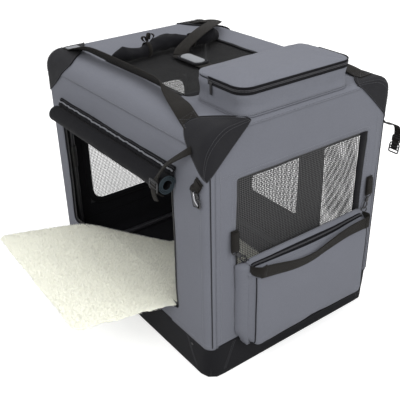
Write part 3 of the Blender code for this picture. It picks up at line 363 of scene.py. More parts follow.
def make_finishes(colours):
    FINISHES.update(
        grey=cloth_finish("Grey cover cloth", colours.grey),
        lining=cloth_finish("Black lining cloth", colours.lining, wear=0.3),
        patch=cloth_finish("Corner patch cloth", colours.patch, 0.0014, 0.4, 0.25, sheen=0.04),
        webbing=cloth_finish("Ribbed webbing", colours.webbing, 0.0019, 0.7, 0.2, on_uv=True, sheen=0.04),
        binding=cloth_finish("Bound edge tape", colours.binding, 0.0012, 0.4),
        pale=cloth_finish("Pale grey tab cloth", colours.tab, 0.001),
        flag=cloth_finish("Dark grey tab cloth", colours.flag, 0.001),
        net=hard_finish("Net yarn", colours.net, 0.8, grain=0.0006),
        dark_net=hard_finish("Roof net yarn", colours.dark_net, 0.8, grain=0.0006),
        fleece=fleece_finish("Cream fleece", colours.fleece),
        thread=hard_finish("Grey thread", colours.thread, 0.7),
        dark_thread=hard_finish("Dark thread", colours.dark_thread, 0.7),
        plastic=hard_finish("Black moulding", colours.plastic, 0.5, coat=0.1),
        tube=hard_finish("Painted tube", colours.steel, 0.42, metallic=0.6),
        bright=hard_finish("Bright wire", colours.wire, 0.3, metallic=1.0),
    )


# Lines and outlines


def wave(point, size, seed=0.0):
    """Smooth noise from -1 to 1 whose waves are about size long."""
    return noise.noise(Vector(point) / size + Vector((seed, 1.7 * seed, -seed)))


def ease(value):
    value = min(1.0, max(0.0, value))
    return value * value * (3 - 2 * value)


def sign_of(value):
    return 1 if value > 0 else -1


def arc(centre, radius, start, end, steps):
    angles = [math.radians(start + (end - start) * i / steps) for i in range(steps + 1)]
    return [(centre[0] + radius * math.cos(a), centre[1] + radius * math.sin(a)) for a in angles]


def rounded(low, high, radius, steps=8):
    """Outline of a rectangle with round corners, counter-clockwise."""
    (u0, v0), (u1, v1) = low, high
    return (
        arc((u1 - radius, v0 + radius), radius, -90, 0, steps)
        + arc((u1 - radius, v1 - radius), radius, 0, 90, steps)
        + arc((u0 + radius, v1 - radius), radius, 90, 180, steps)
        + arc((u0 + radius, v0 + radius), radius, 180, 270, steps)
    )


def grown(shape, amount):
    """A rounded rectangle grown on all sides."""
    (u0, v0), (u1, v1), radius = shape
    return (u0 - amount, v0 - amount), (u1 + amount, v1 + amount), max(0.003, radius + amount)


def spaced(points, step, closed=False):
    """Points at an even spacing along a line."""
    line = [Vector(p) for p in points]
    if closed:
        line.append(line[0])
    reach = [0.0]
    for a, b in zip(line, line[1:]):
        reach.append(reach[-1] + (b - a).length)
    count = max(2, round(reach[-1] / step))
    out, j = [], 0
    for i in range(count if closed else count + 1):
        target = reach[-1] * i / count
        while j < len(reach) - 2 and reach[j + 1] < target:
            j += 1
        span = reach[j + 1] - reach[j] or 1.0
        out.append(line[j].lerp(line[j + 1], min(1.0, (target - reach[j]) / span)))
    return out


def raised(outline, z=0.0):
    """A flat outline at a height."""
    return [(u, v, z) for u, v in outline]


def smooth_path(points, steps, closed=False):
    """Points along a smooth curve that passes through the given ones."""
    knots = [Vector(p) for p in points]
    if closed:
        knots = [knots[-1], *knots, *knots[:2]]
    else:
        knots = [2 * knots[0] - knots[1], *knots, 2 * knots[-1] - knots[-2]]
    path = []
    for a, b, c, d in zip(knots, knots[1:], knots[2:], knots[3:]):
        for i in range(steps):
            t = i / steps
            slope, bend, twist = c - a, 2 * a - 5 * b + 4 * c - d, 3 * b - a - 3 * c + d
            path.append(0.5 * (2 * b + slope * t + bend * t**2 + twist * t**3))
    return path if closed else path + [knots[-2]]


def heading(path, i, closed=False):
    """Direction of a path at one of its points."""
    if closed:
        return (path[(i + 1) % len(path)] - path[i - 1]).normalized()
    return (path[min(i + 1, len(path) - 1)] - path[max(i - 1, 0)]).normalized()


def square_to(ahead, guide):
    """The direction square to another that is nearest to a guide."""
    guide = Vector(guide)
    return (guide - guide.dot(ahead) * ahead).normalized()


def oval(middle, side, up, width, height, count):
    """Points of an ellipse from its two half sizes."""
    angles = (2 * math.pi * k / count for k in range(count))
    return [middle + side * (width * math.cos(t)) + up * (height * math.sin(t)) for t in angles]


def spiral(centre, radius, thickness, pitch, turns, steps, start=0.0):
    """Outer and inner line of a strip rolled up."""
    outer, inner = [], []
    for i in range(turns * steps + 1):
        angle = start + 2 * math.pi * i / steps
        reach = radius - pitch * i / steps
        for line, r in ((outer, reach), (inner, reach - thickness)):
            line.append((centre[0] + r * math.cos(angle), centre[1] + r * math.sin(angle)))
    return outer, inner


# Meshes


def new_object(name, data):
    obj = bpy.data.objects.new(name, data)
    bpy.context.scene.collection.objects.link(obj)
    return obj


def piece(name, mesh, *finishes):
    obj = new_object(name, mesh)
    for finish in finishes:
        mesh.materials.append(FINISHES[finish])
    mesh.shade_smooth()
    return obj


def new_mesh(points, faces, edges=()):
    mesh = bpy.data.meshes.new("crate_mesh")
    mesh.from_pydata(points, edges, faces)
    return mesh


def built_mesh(obj):
    """Mesh of an object with its modifiers applied."""
    return bpy.data.meshes.new_from_object(obj.evaluated_get(bpy.context.evaluated_depsgraph_get()))


def thicken(obj, thickness, **settings):
    """Thickens a sheet inwards."""
    solid = obj.modifiers.new("thickness", "SOLIDIFY")
    for key, value in (settings | {"thickness": thickness, "offset": -1.0}).items():
        setattr(solid, key, value)


def within(loop, spots):
    """Which spots lie inside a closed outline."""
    odd = np.full(len(spots), False)
    for (u0, v0), (u1, v1) in zip(loop, loop[1:] + loop[:1]):
        if v0 != v1:
            crosses = (spots[:, 1] > min(v0, v1)) & (spots[:, 1] <= max(v0, v1))
            odd ^= crosses & (spots[:, 0] < u0 + (spots[:, 1] - v0) * (u1 - u0) / (v1 - v0))
    return odd


def cut_cloth(outline, holes, step=0.006):
    """Flat cloth cut to an outline with openings: points in the plane and triangles of even size."""
    points, edges = [], []
    for loop in [outline, *holes]:
        loop = spaced(raised(loop), step, closed=True)
        edges += [(len(points) + i, len(points) + (i + 1) % len(loop)) for i in range(len(loop))]
        points += [p.to_2d() for p in loop]
    rim = np.array(points)
    low, high = rim.min(0), rim.max(0)
    columns, rows = np.arange(low[0], high[0], step), np.arange(low[1], high[1], step * 0.87)
    spots = [(u + (i % 2) * step / 2, v) for i, v in enumerate(rows) for u in columns]
    for chunk in np.array_split(np.array(spots), 12):
        near = ((chunk[:, None, :] - rim[None]) ** 2).sum(2).min(1)
        points += [Vector(p) for p in chunk[near > (0.6 * step) ** 2]]
    verts, _, faces, *_ = delaunay_2d_cdt(points, edges, [], 1, 1e-7)
    middles = np.array([sum((verts[i] for i in face), Vector((0, 0))) / len(face) for face in faces])
    drop = np.full(len(faces), False)
    for hole in holes:
        drop |= within(hole, middles)
    return verts, [face for face, gone in zip(faces, drop) if not gone]


def lay(name, outline, holes, place, thickness):
    """Cover cloth on a surface, grey outside and lined inside. place(u, v) gives a point and the way out."""
    verts, faces = cut_cloth(outline, holes)
    spots = [place(v.x, v.y) for v in verts]
    a, b, c = (spots[i][0] for i in faces[0][:3])
    if (b - a).cross(c - a).dot(spots[faces[0][0]][1]) < 0:
        faces = [face[::-1] for face in faces]
    obj = piece(name, new_mesh([tucked(point) for point, _ in spots], faces), "grey", "lining")
    thicken(obj, thickness, use_even_offset=True, material_offset=1, material_offset_rim=1)
    return obj


def skin(rings, loop=False):
    """Closed mesh through rings of points, with a UV map in metres: along the rings and round each one."""
    rings = [[Vector(p) for p in ring] for ring in rings]
    count = len(rings[0])
    along = [0.0]
    for a, b in zip(rings, rings[1:] + rings[:1]):
        along.append(along[-1] + (b[0] - a[0]).length)
    girth = [0.0]
    for i in range(count):
        girth.append(girth[-1] + (rings[0][(i + 1) % count] - rings[0][i]).length)
    faces, marks = [], []
    for i in range(len(rings) if loop else len(rings) - 1):
        k = (i + 1) % len(rings)
        for j in range(count):
            m = (j + 1) % count
            faces.append((i * count + j, i * count + m, k * count + m, k * count + j))
            marks += [(along[i + n], girth[j + o]) for n, o in ((0, 0), (0, 1), (1, 1), (1, 0))]
    if not loop:
        for i, order in ((0, range(count - 1, -1, -1)), (len(rings) - 1, range(count))):
            faces.append(tuple(i * count + j for j in order))
            marks += [(along[i], girth[j]) for j in order]
    mesh = new_mesh([p for ring in rings for p in ring], faces)
    sheet_map = mesh.uv_layers.new(name="UVMap")
    sheet_map.data.foreach_set("uv", [value for mark in marks for value in mark])
    bm = bmesh.new()
    bm.from_mesh(mesh)
    bmesh.ops.recalc_face_normals(bm, faces=bm.faces[:])
    bm.to_mesh(mesh)
    bm.free()
    return mesh


def joined(name, meshes, finish):
    """Several meshes as one piece."""
    bm = bmesh.new()
    for mesh in meshes:
        bm.from_mesh(mesh)
        bpy.data.meshes.remove(mesh)
    whole = bpy.data.meshes.new(name)
    bm.to_mesh(whole)
    bm.free()
    return piece(name, whole, finish)


def ribbon(name, path, across, width, thickness, finish):
    """Webbing with rounded selvedges along a path. across gives the direction of its width at each point."""
    half = ((0.5, 0.2), (0.47, 0.5), (0.25, 0.5), (0, 0.5), (-0.25, 0.5), (-0.47, 0.5), (-0.5, 0.2))
    section = half + tuple((-u, -v) for u, v in half)
    rings = []
    for i, point in enumerate(path):
        ahead = heading(path, i)
        side = square_to(ahead, across[i])
        lift = ahead.cross(side)
        rings.append([point + side * (u * width) + lift * (v * thickness) for u, v in section])
    return piece(name, skin(rings), finish)


def tube(path, radius, sides=8, closed=False):
    """Mesh of a round tube along a path."""
    rings = []
    for i, point in enumerate(path):
        ahead = heading(path, i, closed)
        side = square_to(ahead, (0.31, 0.17, 0.94))
        rings.append(oval(point, side, ahead.cross(side), radius, radius, sides))
    return skin(rings, loop=closed)


def wire(points, radius, closed=False, steps=5):
    """Mesh of a bent wire through points."""
    return tube(smooth_path(points, steps, closed), radius, 7, closed)


def tape(place, line, width, low, high, closed=False):
    """Mesh of flat tape that follows a line drawn on a laid cloth."""
    line = spaced(raised(line), 0.008, closed)
    rings = []
    for i, point in enumerate(line):
        ahead = heading(line, i, closed)
        side = Vector((-ahead.y, ahead.x)).normalized() * (width / 2)
        ring = []
        for share, lift in ((-1, low), (-1, high), (-0.4, high), (0.4, high), (1, high), (1, low)):
            spot, out = place(point.x + side.x * share, point.y + side.y * share)
            ring.append(spot + out * lift)
        rings.append(ring)
    return skin(rings, loop=closed)


def on_cloth(place, line, lift=THREAD_LIFT, closed=False):
    """A line drawn on a laid cloth, lifted off it."""
    line = spaced(raised(line), 0.01, closed)
    if closed:
        line.append(line[0])
    spots = [place(p.x, p.y) for p in line]
    return [spot + out * lift for spot, out in spots]


def lathe(start, way, stations, squash_axis=None, flat=1.0):
    """Closed round body along a line. stations are distances and radii; it may be flatter along one axis."""
    way = Vector(way).normalized()
    side = square_to(way, squash_axis or (0.31, 0.17, 0.94))
    up = way.cross(side)
    start = Vector(start)
    return skin([oval(start + way * reach, side, up, radius * flat, radius, 12) for reach, radius in stations])


def ladder_buckle(centre, across, up, width, height):
    """Two-bar webbing buckle: a rounded frame with its middle bars and a lifting lip."""
    centre, across, up = Vector(centre), Vector(across).normalized(), Vector(up).normalized()
    out = across.cross(up)

    def at(u, v, w=0.0):
        return centre + across * (u * width / 2) + up * (v * height / 2) + out * w

    half = ((-0.8, -1), (0, -1), (0.8, -1), (1, -0.75), (1, 0), (1, 0.75))
    outline = [at(turn * u, turn * v) for turn in (1, -1) for u, v in half]
    parts = [wire(outline, 0.0017, closed=True, steps=3)]
    for v, w in ((-0.32, -0.0006), (0.32, 0.0008)):
        parts.append(wire([at(-0.96, v, w), at(0, v, w), at(0.96, v, w)], 0.0015, steps=2))
    parts.append(wire([at(-0.8, 1.1, -0.002), at(0, 1.22, -0.0035), at(0.8, 1.1, -0.002)], 0.0013, steps=3))
    return parts


def snap_hook(start, end, flat_axis, size=1.0):
    """Swivel snap hook between two points: collar, body, hook and gate."""
    start, end = Vector(start), Vector(end)
    way = (end - start).normalized()
    side = way.cross(Vector(flat_axis)).normalized()
    reach = (end - start).length
    body = reach * 0.42
    collar = [(0, 0.001), (0.0006, 0.0034), (0.003, 0.0042), (0.0042, 0.0032)]
    barrel = [(body * 0.5, 0.0048), (body * 0.8, 0.0052), (body, 0.0036), (body + 0.0008, 0.001)]
    stations = [(place, radius * size) for place, radius in collar + barrel]
    parts = [lathe(start, way, stations, flat_axis, 0.72)]

    def at(u, v):
        return start + way * (body + (reach - body) * v) + side * (0.0054 * size * u)

    loop = ((0, -0.06), (0.75, 0.12), (1, 0.5), (0.72, 0.86), (0, 1), (-0.72, 0.86), (-1, 0.55), (-0.8, 0.15))
    parts.append(wire([at(u, v) for u, v in loop], 0.0014 * size, closed=True, steps=4))
    parts.append(wire([at(-0.9, 0.2), at(-1.45, 0.42), at(-1.05, 0.62)], 0.0012 * size, steps=3))
    return parts


def ring_of(centre, across, radius, thick, flatten=1.0):
    """Mesh of an upright wire ring."""
    loop = oval(Vector(centre), Vector(across).normalized(), Vector((0, 0, 1)), radius, radius * flatten, 8)
    return wire(loop, thick, closed=True, steps=3)


def web_loop(start, low, out, width, across):
    """Mesh of webbing folded down and back up round a ring."""
    start, low, out = Vector(start), Vector(low), Vector(out)
    way = (low - start).normalized()
    path = smooth_path(
        [
            start + out * 0.0013,
            start + way * 0.006 + out * 0.0013,
            low - way * 0.006 + out * 0.0016,
            low + out * 0.0036,
            low - way * 0.006 + out * 0.0056,
            start + way * 0.012 + out * 0.0044,
            start + way * 0.004 + out * 0.0037,
        ],
        6,
    )
    section = ((1, 1), (0, 1), (-1, 1), (-1, -1), (0, -1), (1, -1))
    rings = []
    for i, point in enumerate(path):
        ahead = heading(path, i)
        side = square_to(ahead, across) * (width / 2)
        lift = ahead.cross(side).normalized() * 0.001
        rings.append([point + side * u + lift * v for u, v in section])
    return skin(rings)


# Geometry Nodes: rows of stitches and zip teeth, nets and fleece pile


def growth_tree(name, inputs):
    inputs = [("Geometry", "Geometry", None), *inputs, ("Material", "Material", None)]
    return node_group(name, "GeometryNodeTree", inputs, [("Geometry", "Geometry")])


def end_tree(tree, given, leave, geometry):
    """Ends a tree: instances become mesh and the material is set."""
    real = add_node(tree, "GeometryNodeRealizeInstances", {0: geometry})
    paint = add_node(tree, "GeometryNodeSetMaterial", {"Geometry": real, "Material": given["Material"]})
    feed(tree, leave, {0: paint})
    return tree


@cache
def row_tree(name, shape):
    """Small shapes at an even spacing along lines, turned along them."""
    size, up = (0.003, 0.001, 0.001), (0.0, 0.0, 1.0)
    inputs = [("Spacing", "Float", 0.004), ("Size", "Vector", size), ("Up", "Vector", up)]
    tree, given, leave = growth_tree(name, inputs)
    curve = add_node(tree, "GeometryNodeMeshToCurve", {"Mesh": given["Geometry"]})
    spacing = {"Curve": curve, "Length": given["Spacing"]}
    even = add_node(tree, "GeometryNodeResampleCurve", spacing, mode="LENGTH")
    align, along = "FunctionNodeAlignRotationToVector", add_node(tree, "GeometryNodeInputTangent")
    turn = add_node(tree, align, {"Vector": along}, axis="X")
    stand = add_node(tree, align, {"Rotation": turn, "Vector": given["Up"]}, axis="Z", pivot_axis="X")
    if shape == "thread":
        ball = add_node(tree, "GeometryNodeMeshUVSphere", {"Segments": 6, "Rings": 4, "Radius": 0.5})
        lying = {"Geometry": ball, "Rotation": (0.0, math.pi / 2, 0.0)}
        unit = add_node(tree, "GeometryNodeTransform", lying)
    else:
        unit = add_node(tree, "GeometryNodeMeshCube")
    spread = {"Points": even, "Instance": unit, "Rotation": stand, "Scale": given["Size"]}
    return end_tree(tree, given, leave, add_node(tree, "GeometryNodeInstanceOnPoints", spread))


@cache
def net_tree():
    """Knitted net: the cells of a grid become six-sided openings between flat yarns."""
    tree, given, leave = growth_tree("Knitted net", [("Openness", "Float", 0.7)])
    three = add_node(tree, "GeometryNodeTriangulate", {0: given["Geometry"]}, quad_method="FIXED")
    six = add_node(tree, "GeometryNodeDualMesh", {0: three})
    inner = add_node(tree, "GeometryNodeExtrudeMesh", {"Mesh": six, "Offset Scale": 0.0})
    top = inner.outputs["Top"]
    scaling = {"Geometry": inner, "Selection": top, "Scale": given["Openness"]}
    cutting = {"Geometry": add_node(tree, "GeometryNodeScaleElements", scaling), "Selection": top}
    return end_tree(tree, given, leave, add_node(tree, "GeometryNodeDeleteGeometry", cutting, domain="FACE"))


@cache
def pile_tree():
    """Short tapered fibres that stand out of a surface, each leaning its own way."""
    inputs = [("Density", "Float", 60000.0), ("Length", "Float", 0.004), ("Seed", "Int", 7)]
    tree, given, leave = growth_tree("Fleece pile", inputs)
    scatter = {"Mesh": given["Geometry"], "Density": given["Density"], "Seed": given["Seed"]}
    spots = add_node(tree, "GeometryNodeDistributePointsOnFaces", scatter)
    size = {"Vertices": 3, "Radius Top": 0.0, "Radius Bottom": 0.14, "Depth": 1.0}
    fibre = add_node(tree, "GeometryNodeMeshCone", size, fill_type="NONE")
    lean = {0: (-0.9, -0.9, 0.0), 1: (0.9, 0.9, 6.28), "Seed": given["Seed"]}
    lean = add_node(tree, "FunctionNodeRandomValue", lean, data_type="FLOAT_VECTOR")
    tilt = {"Rotation": spots.outputs["Rotation"], "Rotate By": lean}
    tilt = add_node(tree, "FunctionNodeRotateRotation", tilt, rotation_space="LOCAL")
    spread = {"Points": spots, "Instance": fibre, "Rotation": tilt, "Scale": given["Length"]}
    return end_tree(tree, given, leave, add_node(tree, "GeometryNodeInstanceOnPoints", spread))


def grow(name, mesh, tree, finish, **values):
    """Runs a tree on a mesh and keeps the result as a plain piece."""
    source = new_object(name + "_source", mesh)
    modifier = source.modifiers.new("grow", "NODES")
    modifier.node_group = tree
    values["Material"] = FINISHES[finish]
    for item in tree.interface.items_tree:
        if item.in_out == "INPUT" and item.name in values:
            modifier[item.identifier] = values[item.name]
    result = built_mesh(source)
    bpy.data.objects.remove(source, do_unlink=True)
    result.materials.clear()
    return piece(name, result, finish)


def line_mesh(lines):
    points, edges = [], []
    for line in lines:
        edges += [(len(points) + i, len(points) + i + 1) for i in range(len(line) - 1)]
        points += line
    return new_mesh(points, [], edges)


def stitches(name, lines, finish, sizes):
    tree = row_tree("Row of stitches", "thread")
    size = (sizes.stitch, 0.0009, 0.0009)
    return grow(name, line_mesh(lines), tree, finish, Spacing=sizes.stitch_gap, Size=size)


def teeth(name, line, up, sizes, width=0.0036, finish="plastic"):
    tree = row_tree("Row of zip teeth", "tooth")
    size = (sizes.tooth * 0.55, width, 0.0014)
    return grow(name, line_mesh([line]), tree, finish, Spacing=sizes.tooth, Size=size, Up=up)


# The surface of the cover


def crumple(point, height, seed):
    """Soft waves of cloth stretched over a tube frame."""
    drawn = wave((point.x, point.y, 0.3 * point.z), 0.035, seed + 6.0)
    return height * (wave(point, 0.13, seed) + 0.45 * wave(point, 0.05, seed + 3.1) + 0.3 * drawn)


def long_place(sign):
    """Outer surface of a long wall, unrolled round its upright edges. Its top lies under the roof's hem."""

    def place(s, z):
        turn = max(0.0, abs(s) - FLAT_L) / EDGE_R
        side = sign_of(s)
        out = Vector((side * math.sin(turn), sign * math.cos(turn), 0))
        if turn:
            spot = Vector((side * FLAT_L, sign * FLAT_W, z)) + out * EDGE_R
        else:
            spot = Vector((s, sign * HALF_W, z))
        fade = ease((FLAT_L - abs(s)) / 0.05) * ease((z - BAND_H) / 0.06)
        fade *= ease((SHOULDER_Z - 0.006 - z) / 0.05)
        under = 0.0012 * ease((z - SHOULDER_Z + 0.02) / 0.012)
        return spot + out * (crumple(spot, 0.0028, 2.0 * sign) * fade - under), out

    return place


def end_place(sign):
    """Outer surface of an end wall."""

    def place(y, z):
        out = Vector((sign, 0, 0))
        spot = Vector((sign * HALF_L, y, z))
        fade = ease((HALF_W - abs(y)) / 0.05) * ease((z - BAND_H) / 0.05) * ease((HEIGHT - z) / 0.05)
        return spot + out * (crumple(spot, 0.0028, 5.0 * sign) * fade - 0.0006), out

    return place


def roof_place(u, v):
    """Outer surface of the roof: u along it, rolled down at its ends, and v across it, down the shoulders."""
    turn = min(math.pi / 2, max(0.0, abs(v) - ROOF_HALF) / SHOULDER_R)
    side, end = sign_of(v), sign_of(u)
    out = Vector((0, side * math.sin(turn), math.cos(turn)))
    spot = Vector((0, side * min(abs(v), ROOF_HALF), SHOULDER_Z)) + out * SHOULDER_R
    spot.z -= max(0.0, abs(v) - ROOF_HALF - SHOULDER_ARC)
    flat = HALF_L - END_R
    roll = max(0.0, abs(u) - flat) / END_R
    spot = spot + Vector((end * min(abs(u), flat), 0, 0))
    if roll:
        spot = spot + Vector((end * END_R * math.sin(roll), 0, 0)) - out * (END_R * (1 - math.cos(roll)))
        out = (out * math.cos(roll) + Vector((end * math.sin(roll), 0, 0))).normalized()
    fade = ease((HALF_L - abs(u)) / 0.05) * ease((ROOF_HALF + SHOULDER_ARC - abs(v)) / 0.05)
    return spot + out * (crumple(spot, 0.0024, 8.0) * fade), out


def crate_holds(point, proud):
    """True where a point is inside the cover grown by an amount."""
    x, y, z = abs(point.x), abs(point.y), point.z
    if y > HALF_W + proud or z > HEIGHT + proud or x > HALF_L + proud:
        return False
    dy, dz = y - ROOF_HALF, z - SHOULDER_Z
    depth = min(HALF_W + proud - y, HEIGHT + proud - z)
    if dy > 0 and dz > 0:
        depth = SHOULDER_R + proud - math.hypot(dy, dz)
    if depth < 0:
        return False
    dx, dn = x - (HALF_L - END_R), END_R + proud - depth
    if dx > 0 and dn > 0 and math.hypot(dx, dn) > END_R + proud:
        return False
    ex, ey = x - FLAT_L, y - FLAT_W
    return not (ex > 0 and ey > 0 and math.hypot(ex, ey) > EDGE_R + proud)


def cover_hit(heart, spot, proud):
    """Where the line from an inner point through a spot leaves the grown cover."""
    way = (spot - heart).normalized()
    low, high = 0.0, 0.5
    for _ in range(26):
        middle = (low + high) / 2
        if crate_holds(heart + way * middle, proud):
            low = middle
        else:
            high = middle
    return heart + way * low, way


# Distance from a top corner to the point inside it that its patch is drawn from, and the reach of the tuck
CORNER_DEPTH, TUCK_REACH = 0.07, 0.12


def tucked(point):
    """A point of the cover, drawn in where a corner patch has to lie over it."""
    corner = Vector((sign_of(point.x) * HALF_L, sign_of(point.y) * HALF_W, HEIGHT))
    if (point - corner).length > TUCK_REACH or crate_holds(point, 0.0):
        return point
    x, y = (c - sign_of(c) * CORNER_DEPTH for c in corner.xy)
    return cover_hit(Vector((x, y, min(point.z, HEIGHT - CORNER_DEPTH))), point, 0.0)[0]


def patch_place(sx, sy, proud=0.0022):
    """Surface of a corner patch. Its tips lie on the shoulder, on the end panel's edge and down the corner."""
    corner = Vector((sx * HALF_L, sy * HALF_W, HEIGHT))
    heart = corner - Vector((sx, sy, 1)) * CORNER_DEPTH
    reaches = ((sx * PATCH_REACH[sx], 0, 0), (0, sy * PATCH_Y, 0), (0, 0, PATCH_Z))
    tips = [corner - Vector(reach) for reach in reaches]
    middle = sum(tips, Vector()) / 3

    def place(u, v):
        w = 1 - u - v
        spot = tips[0] * u + tips[1] * v + tips[2] * w
        bow = 4 * (u * v * 0.34 + v * w * -0.02 + w * u * 0.16)
        spot = spot + (spot - corner.lerp(middle, 0.6)) * (bow * (1 - 9 * u * v * w))
        hit, out = cover_hit(heart, spot, proud)
        return hit + out * (0.0012 * wave(hit, 0.03, 3.0) * ease(27 * u * v * w)), out

    return place


# Pieces


def settle(obj, slot, body, keep=None, node=None):
    """Sets a piece on its body. A soft one, given a keep, gets a mesh of its own, and one that stands
    for a node of the frame hides that node. The slot is not used."""
    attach(obj, body)
    if keep is not None:
        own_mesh(obj)
    if node:
        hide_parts(node)


def on_wall(slot, keep, *pieces, node=None):
    """Soft pieces of the walls, set on the base."""
    for obj in pieces:
        settle(obj, slot, "base", keep, node)


def on_roof(slot, *pieces, node=None):
    for obj in pieces:
        settle(obj, slot, "roof", node=node)


def on_bag(slot, *pieces, node=None):
    """Pieces of the side bag: they are set on its body and move with it."""
    for obj in pieces:
        settle(obj, slot, "side_bag", 0.6, node)


def puffed(obj, voxel, cap, held, pressure=4.0, frames=20):
    """Blows a padded piece up with the cloth simulation. held(point) is 1 where the piece stays put."""
    scene = bpy.context.scene
    mesh = obj.data
    remesh = obj.modifiers.new("even", "REMESH")
    remesh.mode = "VOXEL"
    remesh.voxel_size = voxel
    even = built_mesh(obj)
    obj.modifiers.clear()
    materials = list(mesh.materials)
    obj.data = even
    bpy.data.meshes.remove(mesh)
    pins = obj.vertex_groups.new(name="held")
    for vert in even.vertices:
        pins.add([vert.index], held(vert.co), "REPLACE")
    cloth = obj.modifiers.new("air", "CLOTH")
    for name, value in {
        "quality": 4,
        "mass": 0.25,
        "tension_stiffness": 12,
        "compression_stiffness": 12,
        "bending_stiffness": 0.6,
        "use_pressure": True,
        "uniform_pressure_force": pressure,
        "vertex_group_mass": "held",
    }.items():
        setattr(cloth.settings, name, value)
    cloth.settings.effector_weights.gravity = 0
    cloth.collision_settings.use_collision = False
    cloth.point_cache.frame_start = 1
    cloth.point_cache.frame_end = frames
    for frame_number in range(1, frames + 1):
        scene.frame_set(frame_number)
    blown = obj.evaluated_get(bpy.context.evaluated_depsgraph_get()).to_mesh()
    moved = [vert.co.copy() for vert in blown.vertices]
    obj.modifiers.clear()
    obj.vertex_groups.clear()
    scene.frame_set(1)
    for vert, end in zip(even.vertices, moved):
        step = end - vert.co
        vert.co += step * min(1.0, cap / max(step.length, 1e-9))
    even.materials.clear()
    for material in materials:
        even.materials.append(material)
    even.shade_smooth()
    smooth = obj.modifiers.new("smooth", "SUBSURF")
    smooth.levels = smooth.render_levels = 1
    return obj


def make_walls(sizes):
    reach = FLAT_L + EDGE_R * math.pi / 2
    foot, head = BAND_H - 0.004, SHOULDER_Z + 0.006
    outline = [(-reach, foot), (reach, foot), (reach, head), (-reach, head)]
    for side, sign, openings in (("front", -1, [DOOR]), ("back", 1, BACK_WINDOWS)):
        holes = [rounded(*opening) for opening in openings]
        wall = lay(side + "_cover", outline, holes, long_place(sign), sizes.cloth)
        on_wall("grey_fabric", 0.05, wall, node=side + "_wall")
    top = HEIGHT - END_R + 0.004
    shoulder = arc((HALF_W - 0.004 - SHOULDER_R, top - SHOULDER_R), SHOULDER_R, 20, 90, 7)
    right = [(FLAT_W, foot), (FLAT_W, SHOULDER_Z - 0.01), *shoulder]
    outline = right + [(-y, z) for y, z in reversed(right)]
    for side, sign, window in (("left", -1, LEFT_WINDOW), ("right", 1, RIGHT_WINDOW)):
        wall = lay(side + "_cover", outline, [rounded(*window)], end_place(sign), sizes.cloth)
        on_wall("grey_fabric", 0.12, wall, node=side + "_wall")


def make_roof(sizes):
    u, v = HALF_L - END_R + END_R * math.pi / 2, ROOF_HALF + SHOULDER_ARC
    outline = [(-u, -v), (u, -v), (u, v), (-u, v)]
    roof = lay("roof_cover", outline, [rounded(*ROOF_WINDOW)], roof_place, sizes.cloth)
    on_roof("grey_fabric", roof, node="roof_panel")


def net_source(window, cell):
    """Flat grid of cells that reaches a little past a window."""
    (u0, v0), (u1, v1), _ = grown(window, 0.004)
    columns, rows = round((u1 - u0) / cell), round((v1 - v0) / cell)
    across = columns + 1
    uprights = [u0 + (u1 - u0) * i / columns for i in range(across)]
    points = [(u, v0 + (v1 - v0) * j / rows, 0) for j in range(rows + 1) for u in uprights]
    starts = [j * across + i for j in range(rows) for i in range(columns)]
    return new_mesh(points, [(a, a + 1, a + across + 1, a + across) for a in starts])


def make_nets(sizes):
    """Nets on the inside of the windows' cloth."""
    nets = (
        ("right_window_net", RIGHT_WINDOW, end_place(1), "right_net", 0.12),
        ("left_window_net", LEFT_WINDOW, end_place(-1), "left_net", 0.12),
        ("back_window_net_left", BACK_WINDOWS[0], long_place(1), "back_net_left", 0.05),
        ("back_window_net_right", BACK_WINDOWS[1], long_place(1), "back_net_right", 0.05),
        ("roof_window_net", ROOF_WINDOW, roof_place, "roof_net", None),
    )
    for name, window, place, node, keep in nets:
        yarn = "net" if keep else "dark_net"
        net = grow(name, net_source(window, sizes.net_cell), net_tree(), yarn, Openness=sizes.net_open)
        for vert in net.data.vertices:
            spot, out = place(vert.co.x, vert.co.y)
            vert.co = spot - out * (sizes.cloth + 0.0004)
        settle(net, "net", "base" if keep else "roof", keep, node)


def patch_sheet(place, steps, flip):
    """Triangles of a corner patch, in rows that grow shorter towards one tip."""
    index, points, faces = {}, [], []
    for i in range(steps + 1):
        for j in range(steps + 1 - i):
            index[i, j] = len(points)
            points.append(place(i / steps, j / steps)[0])
    for i in range(steps):
        for j in range(steps - i):
            faces.append((index[i, j], index[i + 1, j], index[i, j + 1]))
            if i + j < steps - 1:
                faces.append((index[i + 1, j], index[i + 1, j + 1], index[i, j + 1]))
    return new_mesh(points, [face[::-1] for face in faces] if flip else faces)


# The curved double seam of a corner patch, and the seams along its hemmed side and its two turned edges
PATCH_CURVE = ((0.035, 0.93), (0.17, 0.67), (0.27, 0.44), (0.27, 0.25), (0.18, 0.11), (0.1, 0.03))
PATCH_SEAMS = (
    PATCH_CURVE,
    tuple((u + 0.028, v - 0.004) for u, v in PATCH_CURVE),
    ((0.93, 0.035), (0.63, 0.33), (0.33, 0.63), (0.05, 0.91)),
    ((0.93, 0.02), (0.66, 0.02), (0.33, 0.02), (0.07, 0.02)),
    ((0.02, 0.93), (0.02, 0.66), (0.02, 0.33), (0.02, 0.07)),
)
PATCH_HEM = ((0.985, 0.008), (0.66, 0.335), (0.33, 0.665), (0.008, 0.985))


